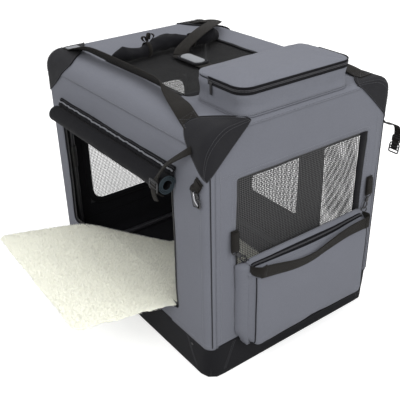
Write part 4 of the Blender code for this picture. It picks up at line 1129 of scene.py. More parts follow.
def make_patches(sizes):
    """Corner patches with their hems and seams."""
    threads, hems = [], []
    for side, sx in (("left", -1), ("right", 1)):
        for end, sy in (("front", -1), ("back", 1)):
            place = patch_place(sx, sy)
            patch = piece(f"corner_patch_{end}_{side}", patch_sheet(place, 30, sx * sy < 0), "patch")
            thicken(patch, 0.0013)
            on_roof("patch_fabric", patch, node=f"top_patch_{end}_{side}")

            def run(knots):
                line = spaced(smooth_path(raised(knots), 8), 0.02)
                spots = [place(p.x, p.y) for p in line]
                return spaced([spot + out * THREAD_LIFT for spot, out in spots], 0.006)

            hems.append(tube(run(PATCH_HEM), 0.0011, 7))
            threads += [run(seam) for seam in PATCH_SEAMS]
    hem = joined("patch_hems", hems, "patch")
    on_roof("patch_fabric", hem, stitches("patch_stitches", threads, "dark_thread", sizes))


def make_tray(sizes):
    """Tray with a soft band: its foot is rounder than its rim."""

    def plan(inset, radius, z, bulge=0.0):
        outline = rounded((-HALF_L, -HALF_W), (HALF_L, HALF_W), radius, 10)
        ring = []
        for p in spaced(raised(outline), 0.02, closed=True):
            out = Vector((p.x * HALF_W, p.y * HALF_L, 0)).normalized()
            p = p - out * (inset - bulge * wave((p.x, p.y, z), 0.08, 4.0))
            ring.append((p.x, p.y, z))
        return ring

    rings = []
    for share in (0.0, 0.03, 0.1, 0.3, 0.55, 0.8, 0.94, 1.0):
        radius = FOOT_R + (EDGE_R - FOOT_R) * share
        rings.append(plan(0.0 if share else 0.003, radius, BAND_H * share, 0.0012 * ease(4 * share)))
    rings.append(plan(0.0012, EDGE_R, BAND_H + 0.0006))
    for share in (0.97, 0.5, 0.04):
        rings.append(plan(0.0025, EDGE_R + 0.006 * (1 - share), BAND_H * share))
    settle(piece("tray", skin(rings), "lining"), "black_fabric", "base", node="base_tray")
    lines, rivets = [], []
    top, proud = BAND_H - 0.006, 0.0011
    stations = [(0, 0.001), (0.0006, 0.0035), (0.0022, 0.0033), (0.0028, 0.0012)]
    rows = [(k / 9, top - 0.007 * k) for k in range(10)]
    for sx, sy in CORNERS:
        for shift in (0.0, 0.005):
            long, short = HALF_L - 0.08 + shift, HALF_W - 0.07 + shift
            lines.append([Vector((sx * (long + 0.03 * t), sy * (HALF_W + proud), z)) for t, z in rows])
            lines.append([Vector((sx * (HALF_L + proud), sy * (short + 0.025 * t), z)) for t, z in rows])
        rivets.append(lathe((sx * (HALF_L - 0.06), sy * (HALF_W - 0.0006), 0.07), (0, sy, 0), stations))
    settle(stitches("tray_stitches", lines, "dark_thread", sizes), "black_fabric", "base")
    settle(joined("tray_rivets", rivets, "plastic"), "plastic", "base")


# Reaches of a window's double seam from its edge
SEAM_PAIR = (0.004, 0.0105)


def window_band(place, window, sizes):
    """Flat tape that binds a window on the inside."""
    back = -sizes.cloth
    return tape(place, rounded(*grown(window, 0.001)), 0.018, back - 0.0034, back - 0.0012, closed=True)


def around(place, window, reaches=SEAM_PAIR):
    """Seams round a window or the door."""
    return [on_cloth(place, rounded(*grown(window, reach)), closed=True) for reach in reaches]


def door_sides(inset, steps):
    """The door's outline without its top, drawn in by an inset."""
    (x0, z0), (x1, z1), radius = DOOR
    foot = arc((x0 + radius, z0 + radius), radius - inset, 180, 270, steps)
    foot += arc((x1 - radius, z0 + radius), radius - inset, 270, 360, steps)
    return [(x0 + inset, z1 - 0.004), *foot, (x1 - inset, z1 - 0.004)]


def make_seams(sizes):
    """Stitch lines, binding strips and zip tapes of the walls."""
    front, back, right, left = long_place(-1), long_place(1), end_place(1), end_place(-1)
    seams, bands = around(front, DOOR, (0.0035, 0.0085)), []
    windows = [(back, window) for window in BACK_WINDOWS] + [(right, RIGHT_WINDOW), (left, LEFT_WINDOW)]
    for place, window in windows:
        seams += around(place, window)
        bands.append(window_band(place, window, sizes))
    low, hem = BAND_H + 0.004, BAND_H + 0.0075
    for place in (front, back):
        seams += [on_cloth(place, [(x, low), (x, SHOULDER_Z - 0.06)]) for x in (-FLAT_L, FLAT_L)]
        seams.append(on_cloth(place, [(-HALF_L, hem), (HALF_L, hem)]))
    beside, edge = FLAT_W - 0.0135, RIGHT_WINDOW[0][0] - 0.008
    for place in (right, left):
        seams += [on_cloth(place, [(y, low), (y, SHOULDER_Z - 0.045)]) for y in (-beside, beside)]
        seams += [on_cloth(place, [(0.003 - FLAT_W, z), (edge, z)]) for z in (0.487, 0.4915)]
        seams.append(on_cloth(place, [(-FLAT_W, hem), (FLAT_W, hem)]))
    bands.append(tape(front, door_sides(0.0, 8), 0.019, -sizes.cloth - 0.0022, -sizes.cloth - 0.0008))
    strip = ((0.166, -0.0018), (0.166, 0.0006), (0.176, 0.0009), (0.187, 0.0006), (0.187, -0.0018))
    rings = []
    for z in (0.232 + 0.0245 * i for i in range(11)):
        spots = [(right(y, z), lift) for y, lift in strip]
        rings.append([spot + out * lift for (spot, out), lift in spots])
    bands.append(skin(rings))
    pipes = []
    turn, bend = math.radians(62), EDGE_R + THREAD_LIFT
    for sx, sy in CORNERS:
        x, y = sx * (FLAT_L + math.sin(turn) * bend), sy * (FLAT_W + math.cos(turn) * bend)
        pipes.append(tube(spaced([(x, y, BAND_H + 0.002), (x, y, SHOULDER_Z - 0.05)], 0.02), 0.0012, 6))
    on_wall("black_fabric", 0.08, joined("cover_tapes", bands, "lining"))
    on_wall("black_fabric", 0.08, joined("cover_piping", pipes, "patch"))
    on_wall("grey_fabric", 0.08, stitches("cover_stitches", seams, "thread", sizes))
    zip_line = on_cloth(front, door_sides(0.0088, 6), -sizes.cloth - 0.0012)
    on_wall("plastic", 0.08, teeth("door_teeth", zip_line, (0, -1, 0), sizes))


def make_roof_seams(sizes):
    """Window binding and seams of the roof, and the zip that stands beside the front handle."""
    seams = around(roof_place, ROOF_WINDOW)
    edge = ROOF_HALF + SHOULDER_ARC - 0.004
    seams += [on_cloth(roof_place, [(0.13 - HALF_L, v), (HALF_L - 0.09, v)]) for v in (-edge, edge)]
    seams += [on_cloth(roof_place, [(u, -0.14), (u, 0.14)]) for u in (END_R - HALF_L, HALF_L - END_R)]
    (u0, v0), (u1, v1), _ = ROOF_WINDOW
    bands = [window_band(roof_place, ROOF_WINDOW, sizes)]
    for start, end, width, low, high in (
        ((u0 + 0.012, v0 - 0.0005), (u1 - 0.02, v0 - 0.0005), 0.011, 0.0002, 0.0012),
        ((u1 - 0.014, v0 + 0.004), (u1 - 0.014, v1 - 0.004), 0.03, -0.0026, -0.0018),
        ((u0 + 0.02, v1 + 0.0005), (u1 - 0.01, v1 + 0.0005), 0.009, 0.0002, 0.0012),
    ):
        bands.append(tape(roof_place, [start, end], width, low, high))
    zip_line = on_cloth(roof_place, [(u0 + 0.012, v0 - 0.001), (u1 - 0.02, v0 - 0.001)], 0.0017)
    on_roof("grey_fabric", stitches("roof_stitches", seams, "thread", sizes))
    on_roof("black_fabric", joined("roof_tapes", bands, "lining"))
    on_roof("plastic", teeth("roof_teeth", zip_line, (0, 0, 1), sizes))


def make_door(sizes):
    """Rolled door, bound at both ends."""
    x0, x1 = ROLL_ENDS
    steps = 80
    rings = []
    for i in range(steps + 1):
        share = i / steps
        x = x0 + (x1 - x0) * share
        radius = ROLL_R - 0.0012 + 0.0007 * wave((x, 0, 0), 0.09, 1.0)
        outer, inner = spiral((ROLL_Y, ROLL_Z), radius, 0.0017, 0.0034, 3, 30)
        ring = []
        for y, z in outer + inner[::-1]:
            waver = 0.0007 * wave((x * 0.6, y, z), 0.018, 2.0)
            way = Vector((0, y - ROLL_Y, z - ROLL_Z)).normalized()
            ring.append(Vector((x, y, z)) + way * waver * ease(min(share, 1 - share) * 20))
        rings.append(ring)
    on_wall("black_fabric", 0.1, piece("rolled_door", skin(rings), "lining"), node="door_roll")
    tubes = []
    for ring in (rings[0], rings[-1]):
        inwards = [Vector((0, ROLL_Y - p.y, ROLL_Z - p.z)).normalized() for p in ring]
        tubes.append(tube([p + way * 0.0008 for p, way in zip(ring[: len(outer)], inwards)], 0.0013))
    on_wall("grey_fabric", 0.1, joined("door_binding", tubes, "binding"))


def make_door_zip(sizes):
    """Ruffled zip above the rolled door, with its teeth and the thread of its edge."""
    rings, row, frayed = [], [], []
    start, step, count = -0.256, 0.0025, 197
    for i in range(count):
        x = start + step * i
        ruck = 0.0024 * wave((x, 0, 0), 0.013, 6.0)
        sway = 0.0018 * wave((x, 5.0, 0), 0.019, 7.0)

        def at(out, pushed, z):
            return Vector((x, -HALF_W - out - pushed * ruck, z))

        rings.append([
            at(0.0006, 0, 0.4898),
            at(0.0036, 1, 0.4888 + sway),
            at(0.0066, 1.4, 0.4848 + sway),
            at(0.009, 1.6, 0.4795 + sway / 2),
            Vector((x, ROLL_Y + 0.010, ROLL_Z + ROLL_R - 0.0026)),
            Vector((x, ROLL_Y + 0.011, ROLL_Z + ROLL_R - 0.0046)),
            at(0.006, 1, 0.4784),
            at(0.0006, 0, 0.485),
        ])
        row.append(at(0.0086, 1.5, 0.4838 + sway))
        frayed.append(at(0.0052, 1.2, 0.4884 + sway))
    on_wall("black_fabric", 0.1, piece("door_zip_tape", skin(rings), "lining"))
    # The teeth take the pale grey thread finish: a painted highlight along the ruffled zip
    row = teeth("door_top_teeth", row, (0, -0.8, 0.6), sizes, 0.0032, "thread")
    on_wall("plastic", 0.1, row, stitches("door_top_stitches", [frayed], "dark_thread", sizes))


def handle_path(shares):
    """Path of a handle over the roof and its shoulders, with the direction of its width at each point."""
    places = [(HALF_L * x, HALF_W * y, HANDLE_W * lift) for x, y, lift, _ in shares]
    leans = [(math.radians(share[3]), 0, 0) for share in shares]
    path, across = smooth_path(places, 8), []
    for i, turn in enumerate(smooth_path(leans, 8)):
        ahead, lean = heading(path, i), turn.x
        level = Vector((ahead.y, -ahead.x, 0)).normalized()
        across.append(level * math.cos(lean) + Vector((0, 0, math.sin(lean))))
        past = min(SHOULDER_R, max(0.0, abs(path[i].y) - ROOF_HALF))
        drop = SHOULDER_R - math.sqrt(SHOULDER_R**2 - past**2)
        path[i].z += HEIGHT - drop + 0.0032 + HANDLE_W / 2 * math.sin(max(0.0, lean))
    return path, across


# Handles: shares of the half length and half width, lift in widths of the webbing, and lean in degrees
FRONT_HANDLE = (
    (-0.93, -0.76, 0.0, 0), (-0.86, -0.76, 0.0, 0), (-0.74, -0.77, 0.06, 20), (-0.55, -0.75, 0.03, 50),
    (-0.2, -0.74, 0.0, 55), (0.1, -0.745, 0.0, 55), (0.33, -0.76, 0.04, 50), (0.45, -0.8, 0.12, 20),
    (0.56, -0.84, 0.16, 0), (0.66, -0.88, 0.14, -18), (0.72, -0.9, 0.04, -28), (0.76, -0.91, -0.06, -32),
    (0.8, -0.92, -0.16, -32),
)
BACK_HANDLE = (
    (-0.93, 0.76, 0.0, 0), (-0.9, 0.76, 0.0, 0), (-0.87, 0.765, 0.04, 0), (-0.78, 0.78, 0.25, 0),
    (-0.66, 0.76, 0.42, 0), (-0.52, 0.62, 0.78, 0), (-0.38, 0.4, 1.03, 0), (-0.29, 0.18, 0.92, 0),
    (-0.25, -0.02, 0.36, 0), (-0.215, -0.085, 0.0, 0), (-0.19, -0.1, 0.0, 0), (0.08, -0.1, 0.0, 0),
    (0.12, -0.09, 0.0, 0), (0.24, 0.0, 0.05, 0), (0.35, 0.22, 0.1, 0), (0.4, 0.45, 0.15, 0),
    (0.46, 0.64, 0.2, 0), (0.6, 0.76, 0.2, 0), (0.76, 0.78, 0.1, 0), (0.87, 0.76, 0.0, 0),
    (0.93, 0.76, 0.0, 0),
)


def strap_place(path, across, reach, u, lift):
    """Point on a strap: reach metres along it, u across it from -1 to 1, lifted off its top."""
    gone = 0.0
    for i, (a, b) in enumerate(zip(path, path[1:])):
        step = (b - a).length
        if gone + step >= reach or i == len(path) - 2:
            ahead = (b - a).normalized()
            side = square_to(ahead, across[i])
            out = side.cross(ahead) * sign_of(side.cross(ahead).z)
            return a + (b - a) * ((reach - gone) / step) + side * (u * HANDLE_W / 2) + out * lift
        gone += step


def make_handles(sizes):
    """Two webbing handles sewn to the corner patches, the front one with a pale tab on its end."""
    sewn = []
    near, far, wide = 0.003, 0.026, 0.8
    corners = [(near, -wide), (near, wide), (far, wide), (far, -wide)]
    cross = [*corners, corners[0], corners[2], corners[3], corners[1]]
    top = sizes.web / 2
    for name, shares in (("front_handle", FRONT_HANDLE), ("back_handle", BACK_HANDLE)):
        path, across = handle_path(shares)
        on_roof("webbing", ribbon("carry_" + name, path, across, HANDLE_W, sizes.web, "webbing"), node=name)
        for route, sides in ((path, across), (path[::-1], across[::-1])):
            for (r0, u0), (r1, u1) in zip(cross, cross[1:]):
                steps = [(r0 + (r1 - r0) * k / 5, u0 + (u1 - u0) * k / 5) for k in range(6)]
                sewn.append([strap_place(route, sides, reach, u, top + 0.0003) for reach, u in steps])
    on_roof("webbing", stitches("handle_stitches", sewn, "dark_thread", sizes))
    path, across = handle_path(FRONT_HANDLE)
    profile = (
        (0.004, 0.0004), (0.0045, 0.0016), (0.008, 0.0024), (0.02, 0.0026), (0.034, 0.0024), (0.0375, 0.0016),
        (0.038, 0.0004),
    )
    rings = []
    for reach, up in profile:
        ring = [(u, up) for u in (0.86, 0.8, 0.4, 0, -0.4, -0.8, -0.86)] + [(-0.86, 0.0002), (0.86, 0.0002)]
        rings.append([strap_place(path, across, reach, u, top + lift) for u, lift in ring])
    on_roof("grey_fabric", piece("front_handle_tab", skin(rings), "pale"))


def make_grip(sizes):
    """Padded grip on the back handle, with its sewn edge."""
    x, y = HALF_L * -0.055, HALF_W * -0.1
    low = HEIGHT + 0.0015 + 0.0012 + sizes.web

    def plan(inset, radius):
        u, v = GRIP[0] / 2 - inset, GRIP[1] / 2 - inset
        return rounded((x - u, y - v), (x + u, y + v), radius, 6)

    def pad(name, profile, drawn_in, finish):
        rings = []
        for inset, z in profile:
            swell = 0.0008 * ease(z / 0.002)
            outline = plan(drawn_in + inset, max(0.002, 0.014 - inset))
            rings.append([(u, v, low + z + swell * wave((u, v, 0), 0.03, 3.0)) for u, v in outline])
        return piece(name, skin(rings), finish)

    rim_profile = ((0.002, 0), (0.0, 0.0008), (0.0, 0.0022), (0.002, 0.0032), (0.006, 0.0036))
    pad_profile = ((0.001, 0.002), (0.0, 0.0034), (0.002, 0.0056), (0.006, 0.0072), (0.012, 0.0082))
    rim = pad("grip_edge", rim_profile, 0.0, "lining")
    grip = pad("carry_grip", pad_profile, 0.006, "pale")
    puffed(grip, 0.002, 0.003, lambda p: 1.0 if p.z < low + 0.004 else 0.0)
    on_roof("grey_fabric", grip)
    seam = spaced(raised(plan(0.003, 0.011), low + 0.0042), 0.008, closed=True)
    on_roof("black_fabric", rim, node="handle_grip")
    on_roof("black_fabric", stitches("grip_stitches", [seam + seam[:1]], "dark_thread", sizes))


def flap_centre(share):
    """Middle and radius of the rolled flap at a share of its length."""
    (_, y0), (_, y1), _ = ROOF_WINDOW
    swell = 0.86 + 0.14 * math.cos(4 * math.pi * share)
    taper = min(1.0, 0.55 + 6 * share, 0.55 + 6 * (1 - share))
    radius = 0.021 * swell * taper
    x = -0.128 + 0.012 * math.sin(3 * math.pi * share)
    return Vector((x, y0 + (y1 - y0) * share, HEIGHT + 0.0003 + radius)), radius


def make_flap(sizes):
    """Rolled roof flap: loose turns of black cloth."""
    rings = []
    for i in range(81):
        share = i / 80
        centre, radius = flap_centre(share)
        radius -= 0.001
        centre.x += 0.004 * wave((0, share, 0), 0.13, 21.0)
        thickness = min(0.0018, radius * 0.12)
        outer, inner = spiral(centre.xz, radius, thickness, radius * 0.17, 3, 28, math.pi)
        ring = []
        for x, z in outer + inner[::-1]:
            way = Vector((x - centre.x, 0, z - centre.z)).normalized()
            waver = 0.0024 * wave((x, centre.y * 0.7, z), 0.014, 5.0)
            waver += 0.0026 * wave((x, centre.y, z), 0.035, 6.0)
            spot = Vector((x, centre.y, z)) + way * waver
            spot.z = max(spot.z, HEIGHT + 0.0004)
            ring.append(spot)
        rings.append(ring)
    on_roof("black_fabric", piece("rolled_flap", skin(rings), "lining"), node="roof_flap_roll")


def make_flap_tie(sizes):
    """Two bands round the rolled flap, and the knot of the front one with its loose ends."""
    parts, section = [], ((-1, -1), (-1, 1), (1, 1), (1, -1))
    for share, wide in ((0.3, 0.0045), (0.72, 0.0035)):
        centre, radius = flap_centre(share)
        side = Vector((0, wide, 0))
        rings = []
        for p in oval(centre, Vector((1, 0, 0)), Vector((0, 0, 1)), radius + 0.0016, radius + 0.0016, 40):
            way = (p - centre).normalized() * 0.0006
            p.z = max(p.z, HEIGHT + 0.0008)
            rings.append([p + side * u + way * v for u, v in section])
        parts.append(skin(rings, loop=True))
    centre, radius = flap_centre(0.3)
    knot = centre + Vector((0, 0, radius + 0.004))
    for sx, sy, tall in ((1, 0.6, 0.016), (-0.7, 0.9, 0.013), (0.3, -1, 0.011)):
        a = knot + Vector((0.004 * sx, 0.004 * sy, 0.003))
        steps = ((0, 0.5), (0.006, 1), (0.012, 0.7))
        rise = [a + Vector((reach * sx, reach * sy, tall * share)) for reach, share in steps]
        path = smooth_path([knot, *rise, knot + Vector((0.008 * sx, 0.01 * sy, 0.002))], 6)
        strip = []
        for i, point in enumerate(path):
            ahead = heading(path, i)
            side = ahead.cross(Vector((sx, sy, 0.2))).normalized() * 0.0035
            lift = ahead.cross(side).normalized() * 0.0005
            strip.append([point + side * u + lift * v for u, v in section])
        parts.append(skin(strip))
    on_roof("webbing", joined("flap_tie", parts, "webbing"))


def pouch_ring(inset, z, sway=0.0, seed=9.0, count=150):
    """Outline of the pouch at a height, with the same number of points at every inset."""
    outline = rounded(*grown(POUCH, -inset))
    middle = (Vector(POUCH[0]) + Vector(POUCH[1])) / 2
    total = sum((Vector(a) - Vector(b)).length for a, b in zip(outline, outline[1:] + outline[:1]))
    ring = []
    for p in spaced(raised(outline), total / count, closed=True)[:count]:
        way = (p.to_2d() - middle).normalized().to_3d()
        waves = wave((p.x, p.y, z), 0.045, seed) + 0.5 * wave((p.x, p.y, z), 0.02, seed + 1)
        p = p + way * sway * waves
        ring.append(Vector((p.x, p.y, z)))
    return ring


def make_pouch(sizes):
    """Zipped pouch on the roof: a soft tub and a crowned lid."""
    floor, rim, low = POUCH_FLOOR, POUCH_RIM, LID_FOOT
    sides = (
        (0.001, 0.0, 0.0), (-0.0004, 0.004, 0.0008), (0.0006, 0.009, 0.0018), (0.002, 0.015, 0.0026),
        (0.0026, 0.021, 0.003), (0.0022, 0.027, 0.003), (0.0014, 0.033, 0.0024), (0.0006, 0.039, 0.0012),
    )
    mouth = ((0.0003, -0.002), (0.0014, 0.0002), (0.0014, 0.0052), (0.003, 0.0052), (0.0095, -0.006))
    tub = [pouch_ring(inset, floor + rise, sway) for inset, rise, sway in sides]
    tub += [pouch_ring(inset, rim + rise) for inset, rise in mouth] + [pouch_ring(0.0095, floor + 0.002)]
    on_roof("grey_fabric", piece("pouch_tub", skin(tub), "grey"), node="pouch_base")
    edge = ((0.005, 0), (0.0016, 0.0001), (0.0014, 0.0024), (0.0002, 0.0044), (0.0008, 0.0062))
    crown = (
        (0.003, 0.0076), (0.008, 0.0092), (0.016, 0.0106), (0.028, 0.0116), (0.042, 0.012), (0.058, 0.0118),
    )
    rings = [pouch_ring(inset, low + rise) for inset, rise in edge]
    for inset, rise in crown:
        ring = pouch_ring(inset, low + rise)
        waves = [0.0016 * wave(p, 0.05, 12.0) + 0.0007 * wave(p, 0.022, 13.0) for p in ring]
        rings.append([p + Vector((0, 0, height)) for p, height in zip(ring, waves)])
    lid = piece("pouch_cover", skin(rings), "grey")
    puffed(lid, 0.0035, 0.0035, lambda p: 1.0 if p.z < low + 0.0055 else 0.0)
    settle(lid, "grey_fabric", "pouch_lid", node="pouch_lid")


def zip_route(inset, z):
    """The pouch's zip: along the front side, round the outer end and back."""
    (x0, y0), (x1, y1), radius = POUCH
    start = x0 + 0.052
    bends = arc((x1 - radius, y0 + radius), radius - inset, -90, 0, 10)
    bends += arc((x1 - radius, y1 - radius), radius - inset, 0, 90, 10)
    outline = [(start, y0 + inset), (x1 - radius, y0 + inset), *bends, (start, y1 - inset)]
    return spaced(raised(outline, z), 0.006)


def make_pouch_zip(sizes):
    """Tapes, teeth and piping of the pouch's zip, and the seams of its foot."""
    floor, rim, low = POUCH_FLOOR, POUCH_RIM, LID_FOOT
    for part, body, z0, z1, row_z, cord_z in (
        ("tub", "roof", rim - 0.001, rim + 0.0053, rim + 0.0046, rim - 0.0012),
        ("lid", "pouch_lid", low + 0.0001, low + 0.0056, low + 0.0009, low + 0.0062),
    ):
        rings = []
        for a, b in zip(zip_route(-0.0004, 0), zip_route(0.001, 0)):
            section = ((b, z0), (a, z0), (a, (z0 + z1) / 2), (a, z1), (b, z1))
            rings.append([(p.x, p.y, z) for p, z in section])
        band = piece(part + "_zip_tape", skin(rings), "lining")
        cord = piece(part + "_zip_piping", tube(zip_route(-0.0006, cord_z), 0.001, 6), "lining")
        row = teeth(part + "_zip_teeth", zip_route(-0.0007, row_z), (0, 0, 1), sizes, 0.0016, "dark_thread")
        for obj, slot in ((band, "black_fabric"), (row, "plastic"), (cord, "black_fabric")):
            settle(obj, slot, body)
    foot = spaced(raised(rounded(*grown(POUCH, 0.001)), floor + 0.0012), 0.008, closed=True)
    welt = piece("pouch_welt", tube(foot, 0.0014, 7, closed=True), "grey")
    seam = pouch_ring(-0.0008, floor + 0.0046, 0.0008)
    (x0, y0), *_ = POUCH
    upright = [Vector((x0 + 0.046, y0 - 0.0012, floor + 0.006 + 0.0035 * k)) for k in range(9)]
    on_roof("grey_fabric", welt, stitches("pouch_stitches", [seam + seam[:1], upright], "thread", sizes))


def bag_section(share):
    """Outline of the bag across its width at a share of its length, with the draw of its ends."""
    y0, y1 = BAG_ENDS
    back, end = BAG_BACK, min(share, 1 - share)
    draw = 0.02 * (1 - ease(end / 0.07)) ** 1.5
    sag = 0.005 * math.sin(math.pi * share)
    low, top = BAG_Z[0] + draw, BAG_Z[1] - draw / 2 - sag * 0.6
    out, middle = BAG_FRONT - draw - 0.001, (low + top) / 2
    points = [(back, low + 0.01), (back, low + 0.08), (back, top - 0.03)]
    mouth = (
        (0, 0), (0.003, -0.0006), (0.008, 0), (0.0125, 0.004), (0.015, 0.008), (0.022, 0.0125),
        (0.031, 0.018),
    )
    points += [(back + reach, top - drop) for reach, drop in mouth]
    points += [(out - reach, top - drop) for reach, drop in ((0.006, 0.022), (0.001, 0.028), (0, 0.05))]
    points += [(out, middle + 0.02), (out, middle - 0.02), (out, low + 0.05), (out, low + 0.026)]
    points += arc((out - 0.014, low + 0.014), 0.014, 0, -90, 6)
    points += [(back + 0.012, low), (back + 0.003, low + 0.002)]
    ring = []
    for x, z in points:
        p = Vector((x, y0 + (y1 - y0) * share, z))
        free = ease((x - back) / 0.03)
        p.x += 0.0016 * free * (wave(p, 0.06, 14.0) - 0.4) * ease(end / 0.05)
        p.z += 0.0015 * free * wave(p, 0.09, 15.0)
        ring.append(p)
    return ring


# Points of the bag's outline: from its front edge to its foot
BAG_FACE = slice(11, 24)


def make_bag(sizes):
    """Side bag: a soft wedge, held at its seams as it fills, with a gusset at its left end."""
    ends = [0, 0.004, 0.012, 0.024, 0.04]
    shares = ends + [0.06 + 0.88 * i / 40 for i in range(41)] + [1 - share for share in reversed(ends)]
    rings = [bag_section(share) for share in shares]
    bag = piece("end_bag", skin(rings), "grey")
    edges = [[ring[k] for ring in rings[3:-3]] for k in (7, 9, 11)]
    upright = [rings[k][BAG_FACE] for k in (4, -5)]
    fixed = np.array([tuple(p) for line in edges + upright for p in spaced(line, 0.004)])

    def held(p):
        if p.x < BAG_BACK + 0.004 or p.z > BAG_Z[1] - 0.022:
            return 1.0
        near = math.sqrt(((fixed - np.array(p)) ** 2).sum(1).min())
        return 1.0 - ease((near - 0.003) / 0.008)

    puffed(bag, 0.0045, 0.005, held)
    on_bag("grey_fabric", bag, node="side_bag")
    rings, full, steps = [], 0.0155, 22
    for k in range(steps + 1):
        z = BAG_Z[0] + 0.006 + (BAG_Z[1] - BAG_Z[0] - 0.012) * k / steps
        flare = full * ease(k / 4) + 0.0012 * wave((0, 0, z), 0.05, 17.0)
        section = (
            (0.0, flare), (0.0022, flare + 0.0004), (0.011, 0.008 * flare / full), (0.022, -0.001),
            (0.022, -0.009), (0.0, -0.009),
        )
        rings.append([(BAG_BACK + x, BAG_ENDS[0] - y, z) for x, y in section])
    on_bag("grey_fabric", piece("bag_gusset", skin(rings), "grey"))


def along_bag(index, shift, lift=0.0, ends=(0.03, 0.97)):
    """Line along the bag between two points of its outline."""
    spots = []
    for k in range(61):
        ring = bag_section(ends[0] + (ends[1] - ends[0]) * k / 60)
        a, b = ring[index], ring[index + 1]
        way = (b - a).normalized()
        spots.append(a.lerp(b, shift) + Vector((-way.z, 0, way.x)) * lift)
    return spots


def make_bag_seams(sizes):
    """Dark piping, zipped mouth and stitches of the side bag."""
    pipes = []
    for share in (0.036, 0.964):
        ring = [p + Vector((0.0004, 0, 0)) for p in bag_section(share)[BAG_FACE]]
        pipes.append(tube(spaced(ring, 0.006), 0.0013, 6))
    pipes.append(tube(spaced(along_bag(20, 0.5), 0.01), 0.0012, 6))
    mouth, steps = [], 72
    for k in range(steps + 1):
        ring, gape = bag_section(0.04 + 0.92 * k / steps), math.sin(math.pi * k / steps)
        way = (ring[9] - ring[6]).normalized()
        out = Vector((-way.z, 0, way.x))
        sway = 0.0008 * wave((k * 0.4, 0, 0), 1.0, 3.0)
        middle = ring[7].lerp(ring[8], 0.4 + 0.25 * gape)
        wide = 0.0046 + 0.0026 * gape**2
        section = (
            (-wide, -0.002), (-wide, 0.0012 + sway), (-0.001, 0.0004), (0.001, 0.0004), (wide, 0.0012 - sway),
            (wide, -0.002),
        )
        mouth.append([middle + way * u + out * v for u, v in section])
    row = [ring[2].lerp(ring[3], 0.5) + Vector((0.0004, 0, 0.0008)) for ring in mouth]
    sewn = [along_bag(10, 0.9, 0.0014, (0.05, 0.95)), along_bag(4, 0.5, 0.0006, (0.02, 0.98))]
    sewn.append(along_bag(8, 0.95, 0.0012, (0.05, 0.95)))
    start = mouth[4][2] + Vector((0.002, 0, 0.001))
    stations = [(0, 0.0006), (0.001, 0.002), (0.006, 0.0016), (0.016, 0.0024), (0.018, 0.0008)]
    pull = lathe(start, (0.3, 0.3, -1), stations, (0, 1, 0), 0.5)
    on_bag("black_fabric", joined("bag_trim", [*pipes, skin(mouth)], "lining"))
    on_bag("grey_fabric", stitches("bag_stitches", sewn, "thread", sizes))
    row = teeth("bag_teeth", row, (0.5, 0, 0.85), sizes, 0.0034, "dark_thread")
    on_bag("plastic", row, joined("bag_pull", [pull], "plastic"))


def make_sling(sizes):
    """Sling over the bag's front, with its ends sewn round the bag's corners."""
    y0, y1 = BAG_ENDS
    knots = []
    for share, sag in ((0, 0), (0.14, 0.3), (0.3, 0.66), (0.45, 0.72), (0.6, 0.4), (0.8, 0.04), (1, 0)):
        y, z = y0 + 0.02 + (y1 - y0 - 0.04) * share, BAG_Z[1] - 0.015 - 0.03 * sag
        knots.append((BAG_FRONT + 0.0013 + 0.0012 * sag, y, z))
    path = smooth_path(knots, 10)
    last = len(path) - 1
    across = [(0.3 * math.sin(math.pi * k / last) ** 2, 0, 1) for k in range(last + 1)]
    on_bag("webbing", ribbon("bag_sling", path, across, 0.028, sizes.web, "webbing"), node="side_bag_strap")
    parts = []
    for end, sign in ((path[0], -1), (path[-1], 1)):
        turns = ((0, -0.012, 0), (0.0004, 0, 0), (-0.012, 0.012, 0.001), (-0.03, 0.0135, 0))
        rings = []
        for k, p in enumerate(smooth_path([end + Vector((x, sign * y, z)) for x, y, z in turns], 5)):
            tall, thick = Vector((0, 0, 0.0145 - 0.0004 * k)), Vector((0.0013, sign * 0.0006, 0))
            rings.append([p + tall + thick, p + tall - thick, p - tall - thick, p - tall + thick])
        parts.append(skin(rings))
    on_bag("webbing", joined("sling_ends", parts, "webbing"))


def mat_under(y):
    """Height of the mat's underside: nearly level outside, a ramp inside, then flat on the floor."""
    rise = MAT["sill"] + 0.0009 - TRAY_FLOOR
    fall = -2 * rise / MAT["land"] - 0.05
    d = y + HALF_W - 0.0025
    bend = math.hypot(d, 0.03) - 0.03
    ramp = rise + (fall - 0.05) / 2 * d + (fall + 0.05) / 2 * bend
    return TRAY_FLOOR + (ramp + math.hypot(ramp, 0.006)) / 2


def mat_spot(v, u):
    """Point of the mat's plan, v metres along it and u across it from -1 to 1. Its corners are drawn round."""
    turn, edge_turn, radius = math.radians(9.0), math.radians(-2.0), 0.022
    along = Vector((math.sin(turn), math.cos(turn), 0))
    across = Vector((math.cos(edge_turn), math.sin(edge_turn), 0))
    corner = Vector((MAT["left"], -HALF_W, 0)) - along * MAT["out"]
    end, half = min(v, MAT["length"] - v), MAT["width"] / 2
    pull = radius - math.sqrt(max(0.0, radius**2 - (radius - end) ** 2)) if end < radius else 0.0
    narrow = 0.025 * min(v, 0.3) / MAT["out"] * (1 - u) / 2
    return corner + along * v + across * (half + narrow + u * (half - pull))


